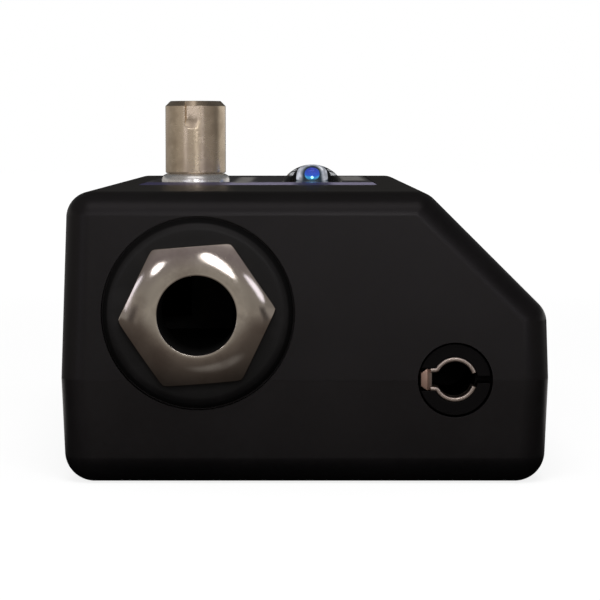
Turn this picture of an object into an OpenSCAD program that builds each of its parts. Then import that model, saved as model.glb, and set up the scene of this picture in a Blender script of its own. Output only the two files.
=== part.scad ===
// Wireless guitar transmitter: a moulded two-part case with a sloping right
// shoulder, a large input jack and a small charging socket in the front face,
// and a rotary control and a pilot light on the top face.
// X runs to the right, Y to the rear and Z up. The origin is the middle of the
// flat base on which the case rests.

/* [Case] */
// Width at the parting line
case_w = 40.5; // [40:0.1:48]
// Depth at the parting line
case_d = 80; // [76:0.5:100]
// Height of the top face
case_h = 24.2; // [23.6:0.1:28]
// Height of the parting line
parting_h = 8.7; // [8.2:0.1:9.6]
// Thickness of the moulded walls
wall = 2; // [1.6:0.1:2.2]
// Draft of the outer walls, in degrees
draft = 1.9; // [0.5:0.1:2.4]
// Radius of the upper edges
edge_r = 2.2; // [1.2:0.1:2.6]
// Radius of the lower edges
base_r = 2.5; // [1.2:0.1:2.8]
// Height at which the sloping shoulder starts on the right wall
slope_foot_h = 14.2; // [13.6:0.1:17]
// Slope of the shoulder, in degrees
slope_angle = 45; // [40:1:60]

/* [Case joint] */
// Height of the locating rim above the parting line
rim_h = 1.2; // [0.6:0.1:2]
// Thickness of the locating rim
rim_t = 0.8; // [0.6:0.1:1]
// Clearance round the locating rim
rim_gap = 0.1; // [0.05:0.05:0.2]
// Diameter of the screw posts
post_d = 5; // [4:0.1:5.2]
// Major diameter of the case screws
screw_d = 2.2; // [2:0.1:2.4]
// Diameter of the case screw heads
screw_head_d = 4; // [3.6:0.1:4.2]
// Height of the case screw heads
screw_head_h = 1.5; // [1:0.1:1.7]
// Length of the case screws under the head
screw_len = 10; // [7:0.5:11]
// Clearance round a screw
screw_gap = 0.15; // [0.05:0.05:0.2]

/* [Input jack] */
// Place of the jack axis left of the middle, as a share of the case width
jack_share = 0.2173; // [0.212:0.0005:0.226]
// Height of the jack axis
jack_h = 14.2; // [13.8:0.1:14.4]
// Bore for a 6.35 mm plug
jack_bore_d = 6.5; // [6.4:0.05:6.6]
// Thread diameter of the jack nose
jack_thread_d = 9; // [8.6:0.1:9.6]
// Width of the jack body
jack_body_w = 14.2; // [13.6:0.1:14.6]
// Height of the jack body above the board
jack_body_h = 16; // [14:0.1:16.4]
// Reach of a plug behind the nut
plug_reach = 30.5; // [28:0.5:31]
// Width of the nut across its flats
nut_flats = 11.3; // [10.6:0.1:12]
// Thickness of the nut at its crest
nut_t = 2; // [1.6:0.1:2.4]
// Diameter of the nut mouth
nut_mouth_d = 6.5; // [6.4:0.05:6.9]
// Turn of the nut on its thread, in degrees
nut_turn = 4.5; // [0:0.5:60]
// Diameter of the washer
washer_d = 15.7; // [14:0.1:16.4]
// Thickness of the washer
washer_t = 1.4; // [1.2:0.1:2]
// Radius of the washer edge
washer_edge_r = 1; // [0.3:0.1:1.1]

/* [Charging socket] */
// Place of the socket axis right of the middle, as a share of the case width
socket_share = 0.3062; // [0.292:0.0005:0.316]
// Height of the socket axis above the board
socket_rise = 3.1; // [3:0.1:3.4]
// Diameter of the socket barrel
socket_barrel_d = 5.9; // [5.6:0.1:6.1]
// Bore for a 3.5 mm plug
socket_bore_d = 3.6; // [3.55:0.05:3.8]
// Depth of the barrel end behind the front face
socket_recess = 0.4; // [0:0.1:0.8]
// Length of the socket body behind the front wall
socket_len = 12; // [11:0.5:14]
// Inner diameter of the sprung contact ring at rest
clip_d = 3; // [2.8:0.05:3.2]
// Thickness of the contact strip
clip_t = 0.35; // [0.3:0.05:0.5]
// Depth of the contact ring along the axis
clip_len = 2; // [1:0.1:2.4]
// Half of the opening in the contact ring, in degrees
clip_gap_angle = 20; // [10:1:30]

/* [Control] */
// Place of the control axis left of the middle, as a share of the case width
control_share = 0.2667; // [0.257:0.0005:0.276]
// Place of the control axis along the depth
control_y = 2.8; // [1:0.1:4]
// Diameter of the control shaft
shaft_d = 6; // [5.6:0.05:6.4]
// Height of the shaft end above the top face
shaft_rise = 8; // [6:0.1:12]
// Diameter of the shaft where it runs in the bush
journal_d = 5; // [4:0.1:5.2]
// Radial running clearance of the shaft
running_gap = 0.03; // [0.01:0.01:0.08]
// Diameter of the bush
bush_d = 6.8; // [6.6:0.1:7.4]
// Height of the bush above the top face
bush_rise = 0.8; // [0.5:0.1:1.5]
// Width of the pointer notch in the shaft end
notch_w = 1.6; // [0.8:0.1:2]
// Height of the pointer notch
notch_h = 2.4; // [1:0.1:4]
// Depth of the pointer notch
notch_depth = 0.7; // [0.3:0.1:1]
// Turn of the pointer notch from straight ahead, in degrees
notch_turn = -3; // [-20:1:20]
// Width of the square control body
control_w = 9.8; // [9.4:0.1:10.4]
// Height of the control body between its board and its shoulder
control_body_h = 6.4; // [6.2:0.1:6.8]

/* [Pilot light] */
// Place of the pilot light right of the middle, as a share of the case width
led_share = 0.0198; // [0.01:0.0005:0.034]
// Diameter of the clear lens
lens_d = 6; // [5.4:0.1:6.4]
// Height of the lens above the top face
lens_rise = 1.6; // [1.2:0.05:2.2]
// Diameter of the lamp
led_d = 3; // [2.8:0.1:3.1]

/* [Overlay] */
// Width of the overlay left of the control axis
overlay_left_w = 4.7; // [4.4:0.1:6]
// Width of the overlay right of the pilot light
overlay_right_w = 6; // [4.2:0.1:7.2]
// Front edge of the overlay
overlay_front = -14; // [-18:0.1:-4]
// Rear edge of the overlay
overlay_rear = 33; // [12:0.5:34]
// Thickness of the overlay film
overlay_t = 0.2; // [0.1:0.05:0.3]
// Corner radius of the overlay
overlay_r = 2; // [0.5:0.1:3]

/* [Boards] */
// Thickness of the main board
board_t = 1.6; // [1.2:0.1:1.8]
// Thickness of the control board
control_board_t = 1.2; // [0.8:0.1:1.6]
// Clearance round soldered pins
pin_gap = 0.1; // [0.05:0.05:0.2]
// Number of pins in the link header
header_pins = 5; // [3:1:5]
// Pitch of the link header
header_pitch = 2.54; // [2:0.01:2.54]

/* [Battery] */
// Thickness of the cell
cell_t = 6; // [4:0.1:6.4]
// Clearance round the cell
cell_gap = 0.5; // [0.3:0.1:1]
// Room behind the cell, ahead of the rear screw posts
cell_rear_room = 5; // [1:0.5:16]
// Thickness of the foam pad under the cell
pad_t = 0.8; // [0.5:0.1:1]

/* [Hidden] */
$fn = 64;
hull_fn = 72;
sliver = 0.01;

// Heights of the stacked parts
top_in = case_h - wall;
board_top = parting_h - socket_rise;
board_bottom = board_top - board_t;
control_headroom = 0.2;
cover_top = top_in - control_headroom;
control_board_top = cover_top - control_body_h;
control_board_bottom = control_board_top - control_board_t;

// Half widths and half depths inside the case
inner_x = case_w / 2 - wall;
inner_y = case_d / 2 - wall - (case_h - parting_h) * tan(draft);
rim_out_x = inner_x - rim_gap;
rim_out_y = inner_y - rim_gap;
rim_in_x = rim_out_x - rim_t;
rim_in_y = rim_out_y - rim_t;
front_y = -case_d / 2;

// Places across the width
jack_x = -jack_share * case_w;
socket_x = socket_share * case_w;
control_x = -control_share * case_w;
led_x = led_share * case_w;
overlay_left = control_x - overlay_left_w;
overlay_right = led_x + overlay_right_w;

// Outline of the sloping shoulder
slope_top_x = half_w(slope_foot_h) - (case_h - slope_foot_h) / tan(slope_angle);
slope_ease = tan(slope_angle / 2);
slope_foot_ease = tan((90 - slope_angle) / 2);

// Screw posts: two at the rear corners and one between the sockets
socket_body_w = 6.4;
post_wall_gap = 0.3;
rear_post_x = rim_in_x - post_d / 2 - post_wall_gap;
rear_post_y = rim_in_y - post_d / 2 - post_wall_gap;
front_post_x = (jack_x + jack_body_w / 2 + socket_x - socket_body_w / 2) / 2;
posts = [[-rear_post_x, rear_post_y], [rear_post_x, rear_post_y], [front_post_x, -rear_post_y]];
head_recess = 2;
screw_drive_w = 0.6;
screw_end_gap = 0.5;
boss_d = post_d + 0.8;
boss_h = board_bottom - wall;
board_pad_d = 3;

// Jack stack from the seat of the washer forwards
seat_sink = 0.45;
seat_gap = 0.15;
seat_y = -half_d(jack_h + washer_d / 2) + seat_sink;
nut_y = seat_y - washer_t;
nut_front_y = nut_y - nut_t;
thread_gap = 0.05;
nut_lip = 0.5;
nose_y = nut_front_y + nut_lip + thread_gap;
nut_crest_r = 4.2;
nut_dome_r = 2.6;
jack_end_wall = 1;
jack_rear_y = nut_front_y + plug_reach + jack_end_wall;
jack_wall_ahead = 2.5;
bay_h = jack_bore_d + 0.5;
bay_reach = 6;
bay_front_y = -inner_y + jack_wall_ahead;
leaf_t = 0.4;
leaf_h = 4;
leaf_x = bay_reach - leaf_t / 2 - pin_gap / 2;
pin_w = 0.9;
pin_tail = 1;
tip_pin_back = 14.9;
sleeve_pin_back = 11.1;
switch_pin_back = 8.1;
tip_apex_x = 1.9;
sleeve_apex_x = 2.8;
switch_apex_x = 2.6;
leaf_end_x = 4.2;
leaf_end_back = 1.6;
leaf_hook = 2.4;
leaf_ramp = 4.6;
switch_ramp = 3;
tip_pin_y = jack_rear_y - tip_pin_back;
sleeve_pin_y = jack_rear_y - sleeve_pin_back;
switch_pin_y = jack_rear_y - switch_pin_back;
sleeve_apex_back = sleeve_pin_back + leaf_ramp + switch_ramp;
jack_pins = [
  [jack_x - leaf_x, tip_pin_y],
  [jack_x + leaf_x, sleeve_pin_y],
  [jack_x + leaf_x, switch_pin_y]
];

// Charging socket
socket_hole_d = socket_barrel_d + 0.3;
socket_face_y = front_y + socket_recess;
socket_rear_y = -inner_y + socket_len;
socket_floor = 1.5;
clip_gap = 0.04;
clip_out_r = clip_d / 2 + clip_t;
clip_mid_r = (clip_d / 2 + clip_out_r) / 2;
clip_leg_angle = 153;
clip_leg_x = -1.9;
clip_fold_x = -2.32;
clip_tab_x = -2.85;
clip_tab_h = 1.8;
clip_tab_end_h = 1.1;
clip_tab_t = 0.4;
clip_leg_t = 0.3;
clip_fold_step = 0.15;
clip_tail_t = 0.3;
clip_tail_h = 1.2;
clip_pin_back = 6;
clip_pin_y = socket_face_y + clip_pin_back;
barrel_slot_h = 0.6;
small_leaf_t = 0.3;
small_leaf_w = 1.6;
small_pin_y = socket_rear_y + 0.3;
small_leaf_run = 3.5;
small_leaf_ramp = 2.2;
small_leaf_hook = 1;
small_leaf_lift = 2.6;
small_apex_lift = 1;
small_end_lift = 1.7;
small_apex_y = socket_rear_y - small_leaf_run - small_leaf_ramp;
small_leaf_end_y = small_apex_y - small_leaf_hook;

// Rotary control
bush_hole_gap = 0.15;
bush_chamfer_r = 0.45;
bush_chamfer_h = 0.7;
bush_spigot_d = 6;
cover_sheet = 0.4;
cover_plate = 0.6;
control_base_t = 1.8;
control_base_top = control_board_top + control_base_t;
track_t = 0.2;
track_in_r = 2.7;
track_out_r = 3.9;
track_angle = 310;
rotor_r = 3.8;
rotor_lift = 1.2;
rotor_z = control_base_top + rotor_lift;
rotor_t = 2;
rotor_tab_r = 4.3;
stop_r = 4.1;
stop_w = 1.6;
press_gap = 0.02;
wiper_t = 0.3;
wiper_lift = 0.05;
wiper_r = rotor_r - 0.1;
finger_d = 0.6;
shaft_foot_z = control_base_top + 0.6;
shaft_head_gap = 0.15;
shaft_head_z = case_h + bush_rise + shaft_head_gap;
shaft_top_z = case_h + shaft_rise;
shaft_chamfer = 0.5;
terminal_pitch = 2.5;
terminal_y = control_y - control_w / 2 - 0.45;
terminal_t = 0.3;
terminal_w = 0.8;
terminal_pins = [for (i = [-1 : 1]) [control_x + i * terminal_pitch, terminal_y]];

// Overlay and pilot light
overlay_gap = 0.1;
led_y = control_y;
led_gap = 0.1;
lens_stem_d = 4.5;
lens_stem_z = top_in - 0.5;
lens_foot_z = case_h - overlay_t;
lens_sphere_r = ((lens_d / 2) * (lens_d / 2) + lens_rise * lens_rise) / (2 * lens_rise);
lens_roof = 0.3;
led_tip_z = case_h + lens_rise - lens_roof - led_gap;
led_dome_z = led_tip_z - led_d / 2;
led_flange_d = led_d + 0.8;
led_flange_h = 1;
led_foot_z = control_board_top + 3;
led_lead_w = 0.5;
led_lead_pitch = 2.54;
led_pins = [for (side = [-1, 1]) [led_x + side * led_lead_pitch / 2, led_y]];

// Boards and what they carry
board_x = rim_in_x - 0.5;
board_y = rim_in_y - 0.4;
control_board_edge = 3.1;
control_board_rim = 1;
control_board_l = 16.4;
control_board_ahead = 6.4;
control_board_r = 1;
control_post_d = 3.4;
control_post_ahead = 3.2;
control_post_behind = 7.2;
control_post_right = 1;
control_board_left = control_x - control_w / 2 - control_board_rim;
control_board_right = led_x + control_board_edge;
control_board_front = control_y - control_board_ahead;
control_board_rear = control_board_front + control_board_l;
control_posts = [
  [(control_x + control_w / 2 + led_x - led_flange_d / 2) / 2, control_y - control_post_ahead],
  [led_x + control_post_right, control_y + control_post_behind]
];
small_screw_d = 1.8;
small_head_d = 3.4;
small_head_h = 1.1;
small_screw_len = 5;
header_w = 2.5;
header_x = (header_pitch + pin_gap) / 2 - board_x;
header_y = control_board_rear - header_w;
header_pin_w = 0.64;
header_places = [for (i = [0 : header_pins - 1]) [header_x + i * header_pitch, header_y]];
board_edge = 0.5;
shield_w = 11.4;
shield_l = 10.8;
shield_rear_room = 5.6;
shield_x = board_edge - board_x;
shield_y = board_y - shield_rear_room - shield_l;
shield_h = 2.6;
shield_sheet = 0.3;
antenna_edge = 2.4;
antenna_y = board_y - antenna_edge;
antenna_side_gap = 1.5;
antenna_w = 2 * (rear_post_x - post_d / 2 - antenna_side_gap);
antenna_h = 5;
antenna_t = 0.4;
antenna_foot = 1.2;
antenna_strip = 2;
antenna_feed = 4;
chip_t = 1;
chip_gap = 0.7;
cap_d = 5;
cap_h = 6.4;
cap_pitch = 6;
cap_x = cap_d / 2 + board_edge - board_x;
cap_y = jack_rear_y + cap_d / 2 + chip_gap;
caps = [[cap_x, cap_y], [cap_x + cap_pitch, cap_y]];
chip_sizes = [6, 4.4, 3.4];
chip_x = board_edge - board_x;
chip_y = cap_y + cap_d / 2 + chip_gap;
chips = [
  [chip_x, chip_y, chip_sizes[0]],
  [chip_x + chip_sizes[0] + chip_gap, chip_y, chip_sizes[1]],
  [front_post_x - post_d / 2 - chip_gap, post_d / 2 + chip_gap - rear_post_y, chip_sizes[2]]
];

// Battery and its connector
plug_gap = 0.9;
plug_l = 3;
lead_run = 1.6;
plug_y = socket_rear_y + plug_gap;
cell_x = jack_x + jack_body_w / 2 + cell_gap;
cell_y = plug_y + plug_l + lead_run;
cell_w = board_x - cell_gap - cell_x;
cell_l = rear_post_y - post_d / 2 - cell_rear_room - cell_y;
cell_z = board_top + pad_t;
cell_edge_r = 1.6;
plug_w = 6;
plug_h = 3.4;
plug_wall = 0.7;
plug_fit = 0.1;
plug_side_gap = 1.5;
plug_x = socket_x - small_leaf_w / 2 - plug_side_gap - plug_wall - plug_fit - plug_w;
plug_stand = 1.4;
lead_d = 1.1;
lead_pitch = 2.2;

// Half width and half depth of the drafted case at a height
function half_w(z) = case_w / 2 - abs(z - parting_h) * tan(draft);
function half_d(z) = case_d / 2 - abs(z - parting_h) * tan(draft);

// Outline of a strip of constant thickness along a run of points
function unit(v) = v / norm(v);
function left_of(v) = [-v[1], v[0]];
function run_normal(p, i) = left_of(unit(p[i + 1] - p[i]));
function mitre(a, b) = (a + b) / (1 + a * b);
function point_normal(p, i) =
  i == 0 ? run_normal(p, 0)
  : i == len(p) - 1 ? run_normal(p, i - 1)
  : mitre(run_normal(p, i - 1), run_normal(p, i));
function strip(p, t) = concat(
  [for (i = [0 : len(p) - 1]) p[i] + point_normal(p, i) * t / 2],
  [for (i = [len(p) - 1 : -1 : 0]) p[i] - point_normal(p, i) * t / 2]
);

// Round bar along Y
module y_rod(d, y0, y1, x, z) {
  translate([x, y0, z]) rotate([-90, 0, 0]) cylinder(d = d, h = y1 - y0);
}

// Box given by two opposite corners
module box(a, b) {
  translate(a) cube(b - a);
}

// Flat outline drawn in X and Z, extruded towards the front from y
module facing_front(x, y, z) {
  translate([x, y, z]) rotate([90, 0, 0]) children();
}

// Flat outline drawn in Y and Z, extruded to the right from x
module facing_side(x) {
  translate([x, 0, 0]) rotate([90, 0, 90]) children();
}

// Rectangle with round corners
module rounded_rect(x0, y0, x1, y1, r) {
  translate([x0 + r, y0]) square([x1 - x0 - 2 * r, y1 - y0]);
  translate([x0, y0 + r]) square([x1 - x0, y1 - y0 - 2 * r]);
  for (x = [x0 + r, x1 - r], y = [y0 + r, y1 - r]) translate([x, y]) circle(r);
}

// Rounding ball whose poles and sides lie exactly on its radius
module ball(r) {
  rotate_extrude($fn = hull_fn)
    polygon([for (i = [0 : hull_fn / 2]) let (a = -90 + 360 * i / hull_fn) [max(0, r * cos(a)), r * sin(a)]]);
}

// Ball that rounds the case edge on one end, at a height
module edge_ball(x, z, r, end) {
  translate([x, end * (half_d(z) - r / cos(draft)), z]) ball(r);
}

// Rounded rectangle of the case at the parting line
module parting_outline(z) {
  for (sx = [-1, 1], sy = [-1, 1])
    translate([sx * (case_w / 2 - edge_r), sy * (case_d / 2 - edge_r), z])
      cylinder(r = edge_r, h = sliver, $fn = hull_fn);
}

// Outer form of the upper half
module upper_block() {
  top_z = case_h - edge_r;
  foot_z = slope_foot_h - edge_r * slope_foot_ease;
  hull() {
    parting_outline(parting_h);
    for (end = [-1, 1]) {
      edge_ball(edge_r / cos(draft) - half_w(top_z), top_z, edge_r, end);
      edge_ball(slope_top_x - edge_r * slope_ease, top_z, edge_r, end);
      edge_ball(half_w(foot_z) - edge_r / cos(draft), foot_z, edge_r, end);
    }
  }
}

// Outer form of the lower half
module lower_block() {
  hull() {
    parting_outline(parting_h - sliver);
    for (end = [-1, 1], side = [-1, 1])
      edge_ball(side * (half_w(base_r) - base_r / cos(draft)), base_r, base_r, end);
  }
}

// Straight prism of the upper half's cross-section, moved in from the outside
module upper_prism(inset, half_length) {
  facing_front(0, half_length, 0) linear_extrude(2 * half_length) polygon([
    [-(case_w / 2 - inset), board_top - 1],
    [-(case_w / 2 - inset), parting_h],
    [-(half_w(case_h) - inset), case_h - inset],
    [slope_top_x - inset * slope_ease, case_h - inset],
    [half_w(slope_foot_h) - inset, slope_foot_h - inset * slope_foot_ease],
    [case_w / 2 - inset, parting_h],
    [case_w / 2 - inset, board_top - 1]
  ]);
}

// Openings of the front face that both halves share
module front_openings() {
  y_rod(washer_d + 2 * seat_gap, front_y - 1, seat_y, jack_x, jack_h);
  y_rod(socket_hole_d, front_y - 1, -rim_in_y + 1, socket_x, parting_h);
}

module upper_case() {
  color("#1e1c1d") difference() {
    union() {
      difference() {
        upper_block();
        upper_prism(wall, inner_y);
      }
      intersection() {
        union() {
          for (p = posts) translate([p[0], p[1], board_top]) cylinder(d = post_d, h = case_h);
          for (p = control_posts)
            translate([p[0], p[1], control_board_top]) cylinder(d = control_post_d, h = case_h);
        }
        upper_prism(wall / 2, inner_y);
      }
    }
    front_openings();
    y_rod(jack_thread_d + 2 * seat_gap, front_y - 1, -inner_y + 1, jack_x, jack_h);
    translate([0, 0, case_h - overlay_t]) linear_extrude(1) overlay_outline(overlay_gap);
    translate([control_x, control_y, top_in - 1]) cylinder(d = bush_d + 2 * bush_hole_gap, h = wall + 2);
    translate([led_x, led_y, top_in - 1]) cylinder(d = lens_stem_d + 2 * led_gap, h = wall + 2);
    for (p = posts)
      translate(p) cylinder(d = screw_d + 2 * thread_gap, h = head_recess + screw_len + screw_end_gap);
    for (p = control_posts)
      translate([p[0], p[1], control_board_bottom])
        cylinder(d = small_screw_d + 2 * thread_gap, h = small_screw_len + screw_end_gap);
  }
}

module lower_case() {
  pads = [
    [jack_x, -inner_y + 1.5 * board_pad_d],
    [jack_x, jack_rear_y - 1.5 * board_pad_d],
    [cell_x + cell_w / 2, cell_y + cell_l / 2]
  ];
  color("#191819") difference() {
    union() {
      difference() {
        union() {
          lower_block();
          box([-rim_out_x, -rim_out_y, wall], [rim_out_x, rim_out_y, parting_h + rim_h]);
        }
        box([-rim_in_x, -rim_in_y, wall], [rim_in_x, rim_in_y, case_h]);
      }
      translate([0, 0, wall - sliver]) {
        for (p = posts) translate(p) cylinder(d = boss_d, h = boss_h + sliver);
        for (p = pads) translate(p) cylinder(d = board_pad_d, h = boss_h + sliver);
      }
    }
    front_openings();
    socket_pocket(jack_x, jack_body_w);
    socket_pocket(socket_x, socket_body_w);
    for (p = posts) {
      translate([p[0], p[1], -1]) cylinder(d = screw_head_d + 4 * screw_gap, h = head_recess + 1);
      translate([p[0], p[1], -1]) cylinder(d = screw_d + 2 * screw_gap, h = case_h);
    }
  }
}

// Gap in the locating rim for the body of a socket
module socket_pocket(x, w) {
  side = w / 2 + 2 * rim_gap;
  box([x - side, -inner_y - rim_gap, board_top - rim_gap], [x + side, -rim_in_y + 1, case_h]);
}

// Pan-head screw with a cross recess, pointing up, its head seated at z = 0
module screw(d, length, head_d, head_h) {
  difference() {
    union() {
      cylinder(d = d, h = length);
      translate([0, 0, -head_h]) cylinder(d = head_d, h = head_h);
    }
    for (turn = [0, 90]) rotate([0, 0, turn]) box(
      [-head_d * 0.3, -screw_drive_w / 2, -head_h - 1],
      [head_d * 0.3, screw_drive_w / 2, -head_h * 0.45]
    );
  }
}

module case_screws() {
  color("#3a3a3c") translate([0, 0, head_recess])
    for (p = posts) translate(p) screw(screw_d, screw_len, screw_head_d, screw_head_h);
}

// Outline of the overlay, grown by a margin
module overlay_outline(grow) {
  rounded_rect(
    overlay_left - grow, overlay_front - grow, overlay_right + grow, overlay_rear + grow, overlay_r + grow
  );
}

module top_overlay() {
  color("#26262b") translate([0, 0, case_h - overlay_t]) linear_extrude(overlay_t) difference() {
    overlay_outline(0);
    translate([control_x, control_y]) circle(d = bush_d + 2 * bush_hole_gap + 2 * overlay_gap);
    translate([led_x, led_y]) circle(d = lens_d + 2 * overlay_gap);
  }
}

module input_jack_body() {
  half = jack_body_w / 2;
  color("#141314") difference() {
    union() {
      box([jack_x - half, -inner_y, board_top], [jack_x + half, jack_rear_y, board_top + jack_body_h]);
      y_rod(jack_thread_d, nose_y, -inner_y + sliver, jack_x, jack_h);
    }
    y_rod(jack_bore_d, nose_y - 1, jack_rear_y - jack_end_wall, jack_x, jack_h);
    box(
      [jack_x - bay_reach, bay_front_y, jack_h - bay_h / 2],
      [jack_x + bay_reach, jack_rear_y - jack_end_wall, jack_h + bay_h / 2]
    );
    for (p = jack_pins) box(
      [p[0] - leaf_t / 2 - pin_gap, p[1] - pin_w / 2 - pin_gap, board_top - 1],
      [p[0] + leaf_t / 2 + pin_gap, p[1] + pin_w / 2 + pin_gap, jack_h]
    );
  }
}

module input_jack_washer() {
  flat_r = washer_d / 2 - washer_edge_r;
  color("#161516") facing_front(jack_x, seat_y, jack_h) rotate_extrude() difference() {
    union() {
      square([flat_r, washer_t]);
      square([washer_d / 2, washer_t - washer_edge_r]);
      translate([flat_r, washer_t - washer_edge_r]) circle(washer_edge_r);
    }
    square([jack_thread_d / 2 + seat_gap, washer_t]);
    translate([0, -washer_d]) square([washer_d, washer_d]);
  }
}

module input_jack_nut() {
  color("#a8a39a") facing_front(jack_x, nut_y, jack_h) rotate([0, 0, nut_turn]) difference() {
    intersection() {
      cylinder(d = nut_flats / cos(30), h = nut_t, $fn = 6);
      rotate_extrude() intersection() {
        square([nut_flats, nut_t]);
        translate([nut_crest_r, nut_t - nut_dome_r]) circle(nut_dome_r);
      }
    }
    translate([0, 0, -1]) cylinder(d = jack_thread_d + 2 * thread_gap, h = nut_t - nut_lip + 1);
    cylinder(d = nut_mouth_d, h = nut_t + 1);
  }
}

// Bent contact strip of the jack with its soldered pin, on one side of the bore.
// The run gives distances from the bore axis and ahead of the rear of the jack.
module jack_leaf(side, pin_y, run) {
  points = [for (p = run) [jack_x + side * p[0], jack_rear_y - p[1]]];
  color("#c9b98e") {
    translate([0, 0, jack_h - leaf_h / 2]) linear_extrude(leaf_h) polygon(strip(points, leaf_t));
    pin_x = jack_x + side * leaf_x;
    box(
      [pin_x - leaf_t / 2, pin_y - pin_w / 2, board_bottom - pin_tail],
      [pin_x + leaf_t / 2, pin_y + pin_w / 2, jack_h]
    );
  }
}

module input_jack_tip_spring() {
  jack_leaf(-1, tip_pin_y, [
    [leaf_x, tip_pin_back + pin_w / 2],
    [leaf_x, leaf_end_back + leaf_hook + leaf_ramp],
    [tip_apex_x, leaf_end_back + leaf_hook],
    [leaf_end_x, leaf_end_back]
  ]);
}

module input_jack_switch_spring() {
  jack_leaf(1, switch_pin_y, [
    [leaf_x, switch_pin_back + pin_w / 2],
    [leaf_x, leaf_end_back + leaf_hook + switch_ramp],
    [switch_apex_x, leaf_end_back + leaf_hook],
    [leaf_end_x, leaf_end_back]
  ]);
}

module input_jack_sleeve_spring() {
  jack_leaf(1, sleeve_pin_y, [
    [leaf_x, sleeve_pin_back - pin_w / 2],
    [leaf_x, sleeve_apex_back - leaf_ramp],
    [sleeve_apex_x, sleeve_apex_back],
    [leaf_end_x, sleeve_apex_back + leaf_hook]
  ]);
}

module charge_socket_body() {
  half = socket_body_w / 2;
  clip_end_y = socket_face_y + clip_len + clip_gap;
  tab_half = clip_tab_h / 2 + clip_gap;
  tail_half = clip_tail_h / 2 + clip_gap;
  tail_x = socket_x + clip_tab_x + clip_tail_t + clip_gap;
  leaf_half = small_leaf_w / 2 + pin_gap;
  color("#161516") difference() {
    union() {
      box([socket_x - half, -inner_y, board_top], [socket_x + half, socket_rear_y, parting_h + socket_rise]);
      y_rod(socket_barrel_d, socket_face_y, -inner_y + sliver, socket_x, parting_h);
    }
    y_rod(socket_bore_d, front_y - 1, socket_rear_y - socket_floor, socket_x, parting_h);
    y_rod(2 * (clip_out_r + clip_gap), front_y - 1, clip_end_y, socket_x, parting_h);
    box(
      [socket_x - half - 1, front_y - 1, parting_h - tab_half],
      [socket_x - 1, clip_end_y, parting_h + tab_half]
    );
    box(
      [socket_x, front_y - 1, parting_h - barrel_slot_h / 2],
      [socket_x + half + 1, clip_end_y, parting_h + barrel_slot_h / 2]
    );
    box(
      [socket_x - half - 1, front_y - 1, parting_h - tail_half],
      [tail_x, clip_pin_y + clip_tail_h / 2, parting_h + tail_half]
    );
    box(
      [socket_x - half - 1, clip_pin_y - clip_tail_h / 2, board_top - 1],
      [tail_x, clip_pin_y + clip_tail_h / 2, parting_h]
    );
    box(
      [socket_x - leaf_half, small_leaf_end_y - 1, parting_h + 0.6],
      [socket_x + leaf_half, socket_rear_y + 1, case_h]
    );
  }
}

module charge_socket_clip() {
  leg_z = clip_mid_r * sin(clip_leg_angle);
  leg_end_x = socket_x + clip_mid_r * cos(clip_leg_angle);
  half = clip_leg_t / 2;
  tab_half = clip_tab_h / 2;
  end_half = clip_tab_end_h / 2;
  step_y = socket_face_y + clip_fold_step;
  tab_x = socket_x + clip_tab_x;
  color("#b98e66") {
    facing_front(socket_x, socket_face_y + clip_len, parting_h)
      for (start = [clip_gap_angle, -clip_leg_angle])
        rotate([0, 0, start]) rotate_extrude(angle = clip_leg_angle - clip_gap_angle)
          translate([clip_d / 2, 0]) square([clip_t, clip_len]);
    for (side = [-1, 1]) box(
      [socket_x + clip_leg_x, socket_face_y, parting_h + side * leg_z - half],
      [leg_end_x, socket_face_y + clip_len, parting_h + side * leg_z + half]
    );
    box(
      [socket_x + clip_fold_x, socket_face_y, parting_h - tab_half],
      [socket_x + clip_leg_x, socket_face_y + clip_tab_t, parting_h + tab_half]
    );
    facing_front(socket_x, step_y + clip_tab_t, parting_h) linear_extrude(clip_tab_t) polygon([
      [clip_tab_x, -end_half],
      [clip_fold_x, -tab_half],
      [clip_fold_x, tab_half],
      [clip_tab_x, end_half]
    ]);
    box(
      [tab_x, step_y, parting_h - clip_tail_h / 2],
      [tab_x + clip_tail_t, clip_pin_y + pin_w / 2, parting_h + clip_tail_h / 2]
    );
    box(
      [tab_x, clip_pin_y - pin_w / 2, board_bottom - pin_tail],
      [tab_x + clip_tail_t, clip_pin_y + pin_w / 2, parting_h]
    );
  }
}

module charge_socket_tip_spring() {
  color("#c9b98e") facing_side(socket_x - small_leaf_w / 2) linear_extrude(small_leaf_w) polygon(strip([
    [small_pin_y, board_bottom - pin_tail],
    [small_pin_y, parting_h + small_leaf_lift],
    [socket_rear_y - small_leaf_run, parting_h + small_leaf_lift],
    [small_apex_y, parting_h + small_apex_lift],
    [small_leaf_end_y, parting_h + small_end_lift]
  ], small_leaf_t));
}

module control_shaft() {
  shaft_r = shaft_d / 2;
  floor_y = notch_depth - shaft_r;
  color("#a3937f") translate([control_x, control_y, 0]) difference() {
    rotate_extrude() polygon([
      [0, shaft_foot_z],
      [journal_d / 2, shaft_foot_z],
      [journal_d / 2, shaft_head_z],
      [shaft_r, shaft_head_z],
      [shaft_r, shaft_top_z - shaft_chamfer],
      [shaft_r - shaft_chamfer, shaft_top_z],
      [0, shaft_top_z]
    ]);
    rotate([0, 0, notch_turn]) facing_side(-notch_w / 2) linear_extrude(notch_w) polygon([
      [-shaft_r - 1, shaft_top_z + 1],
      [floor_y, shaft_top_z + 1],
      [floor_y, shaft_top_z - notch_h + notch_depth],
      [-shaft_r - 1, shaft_top_z - notch_h - 1]
    ]);
  }
}

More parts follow.
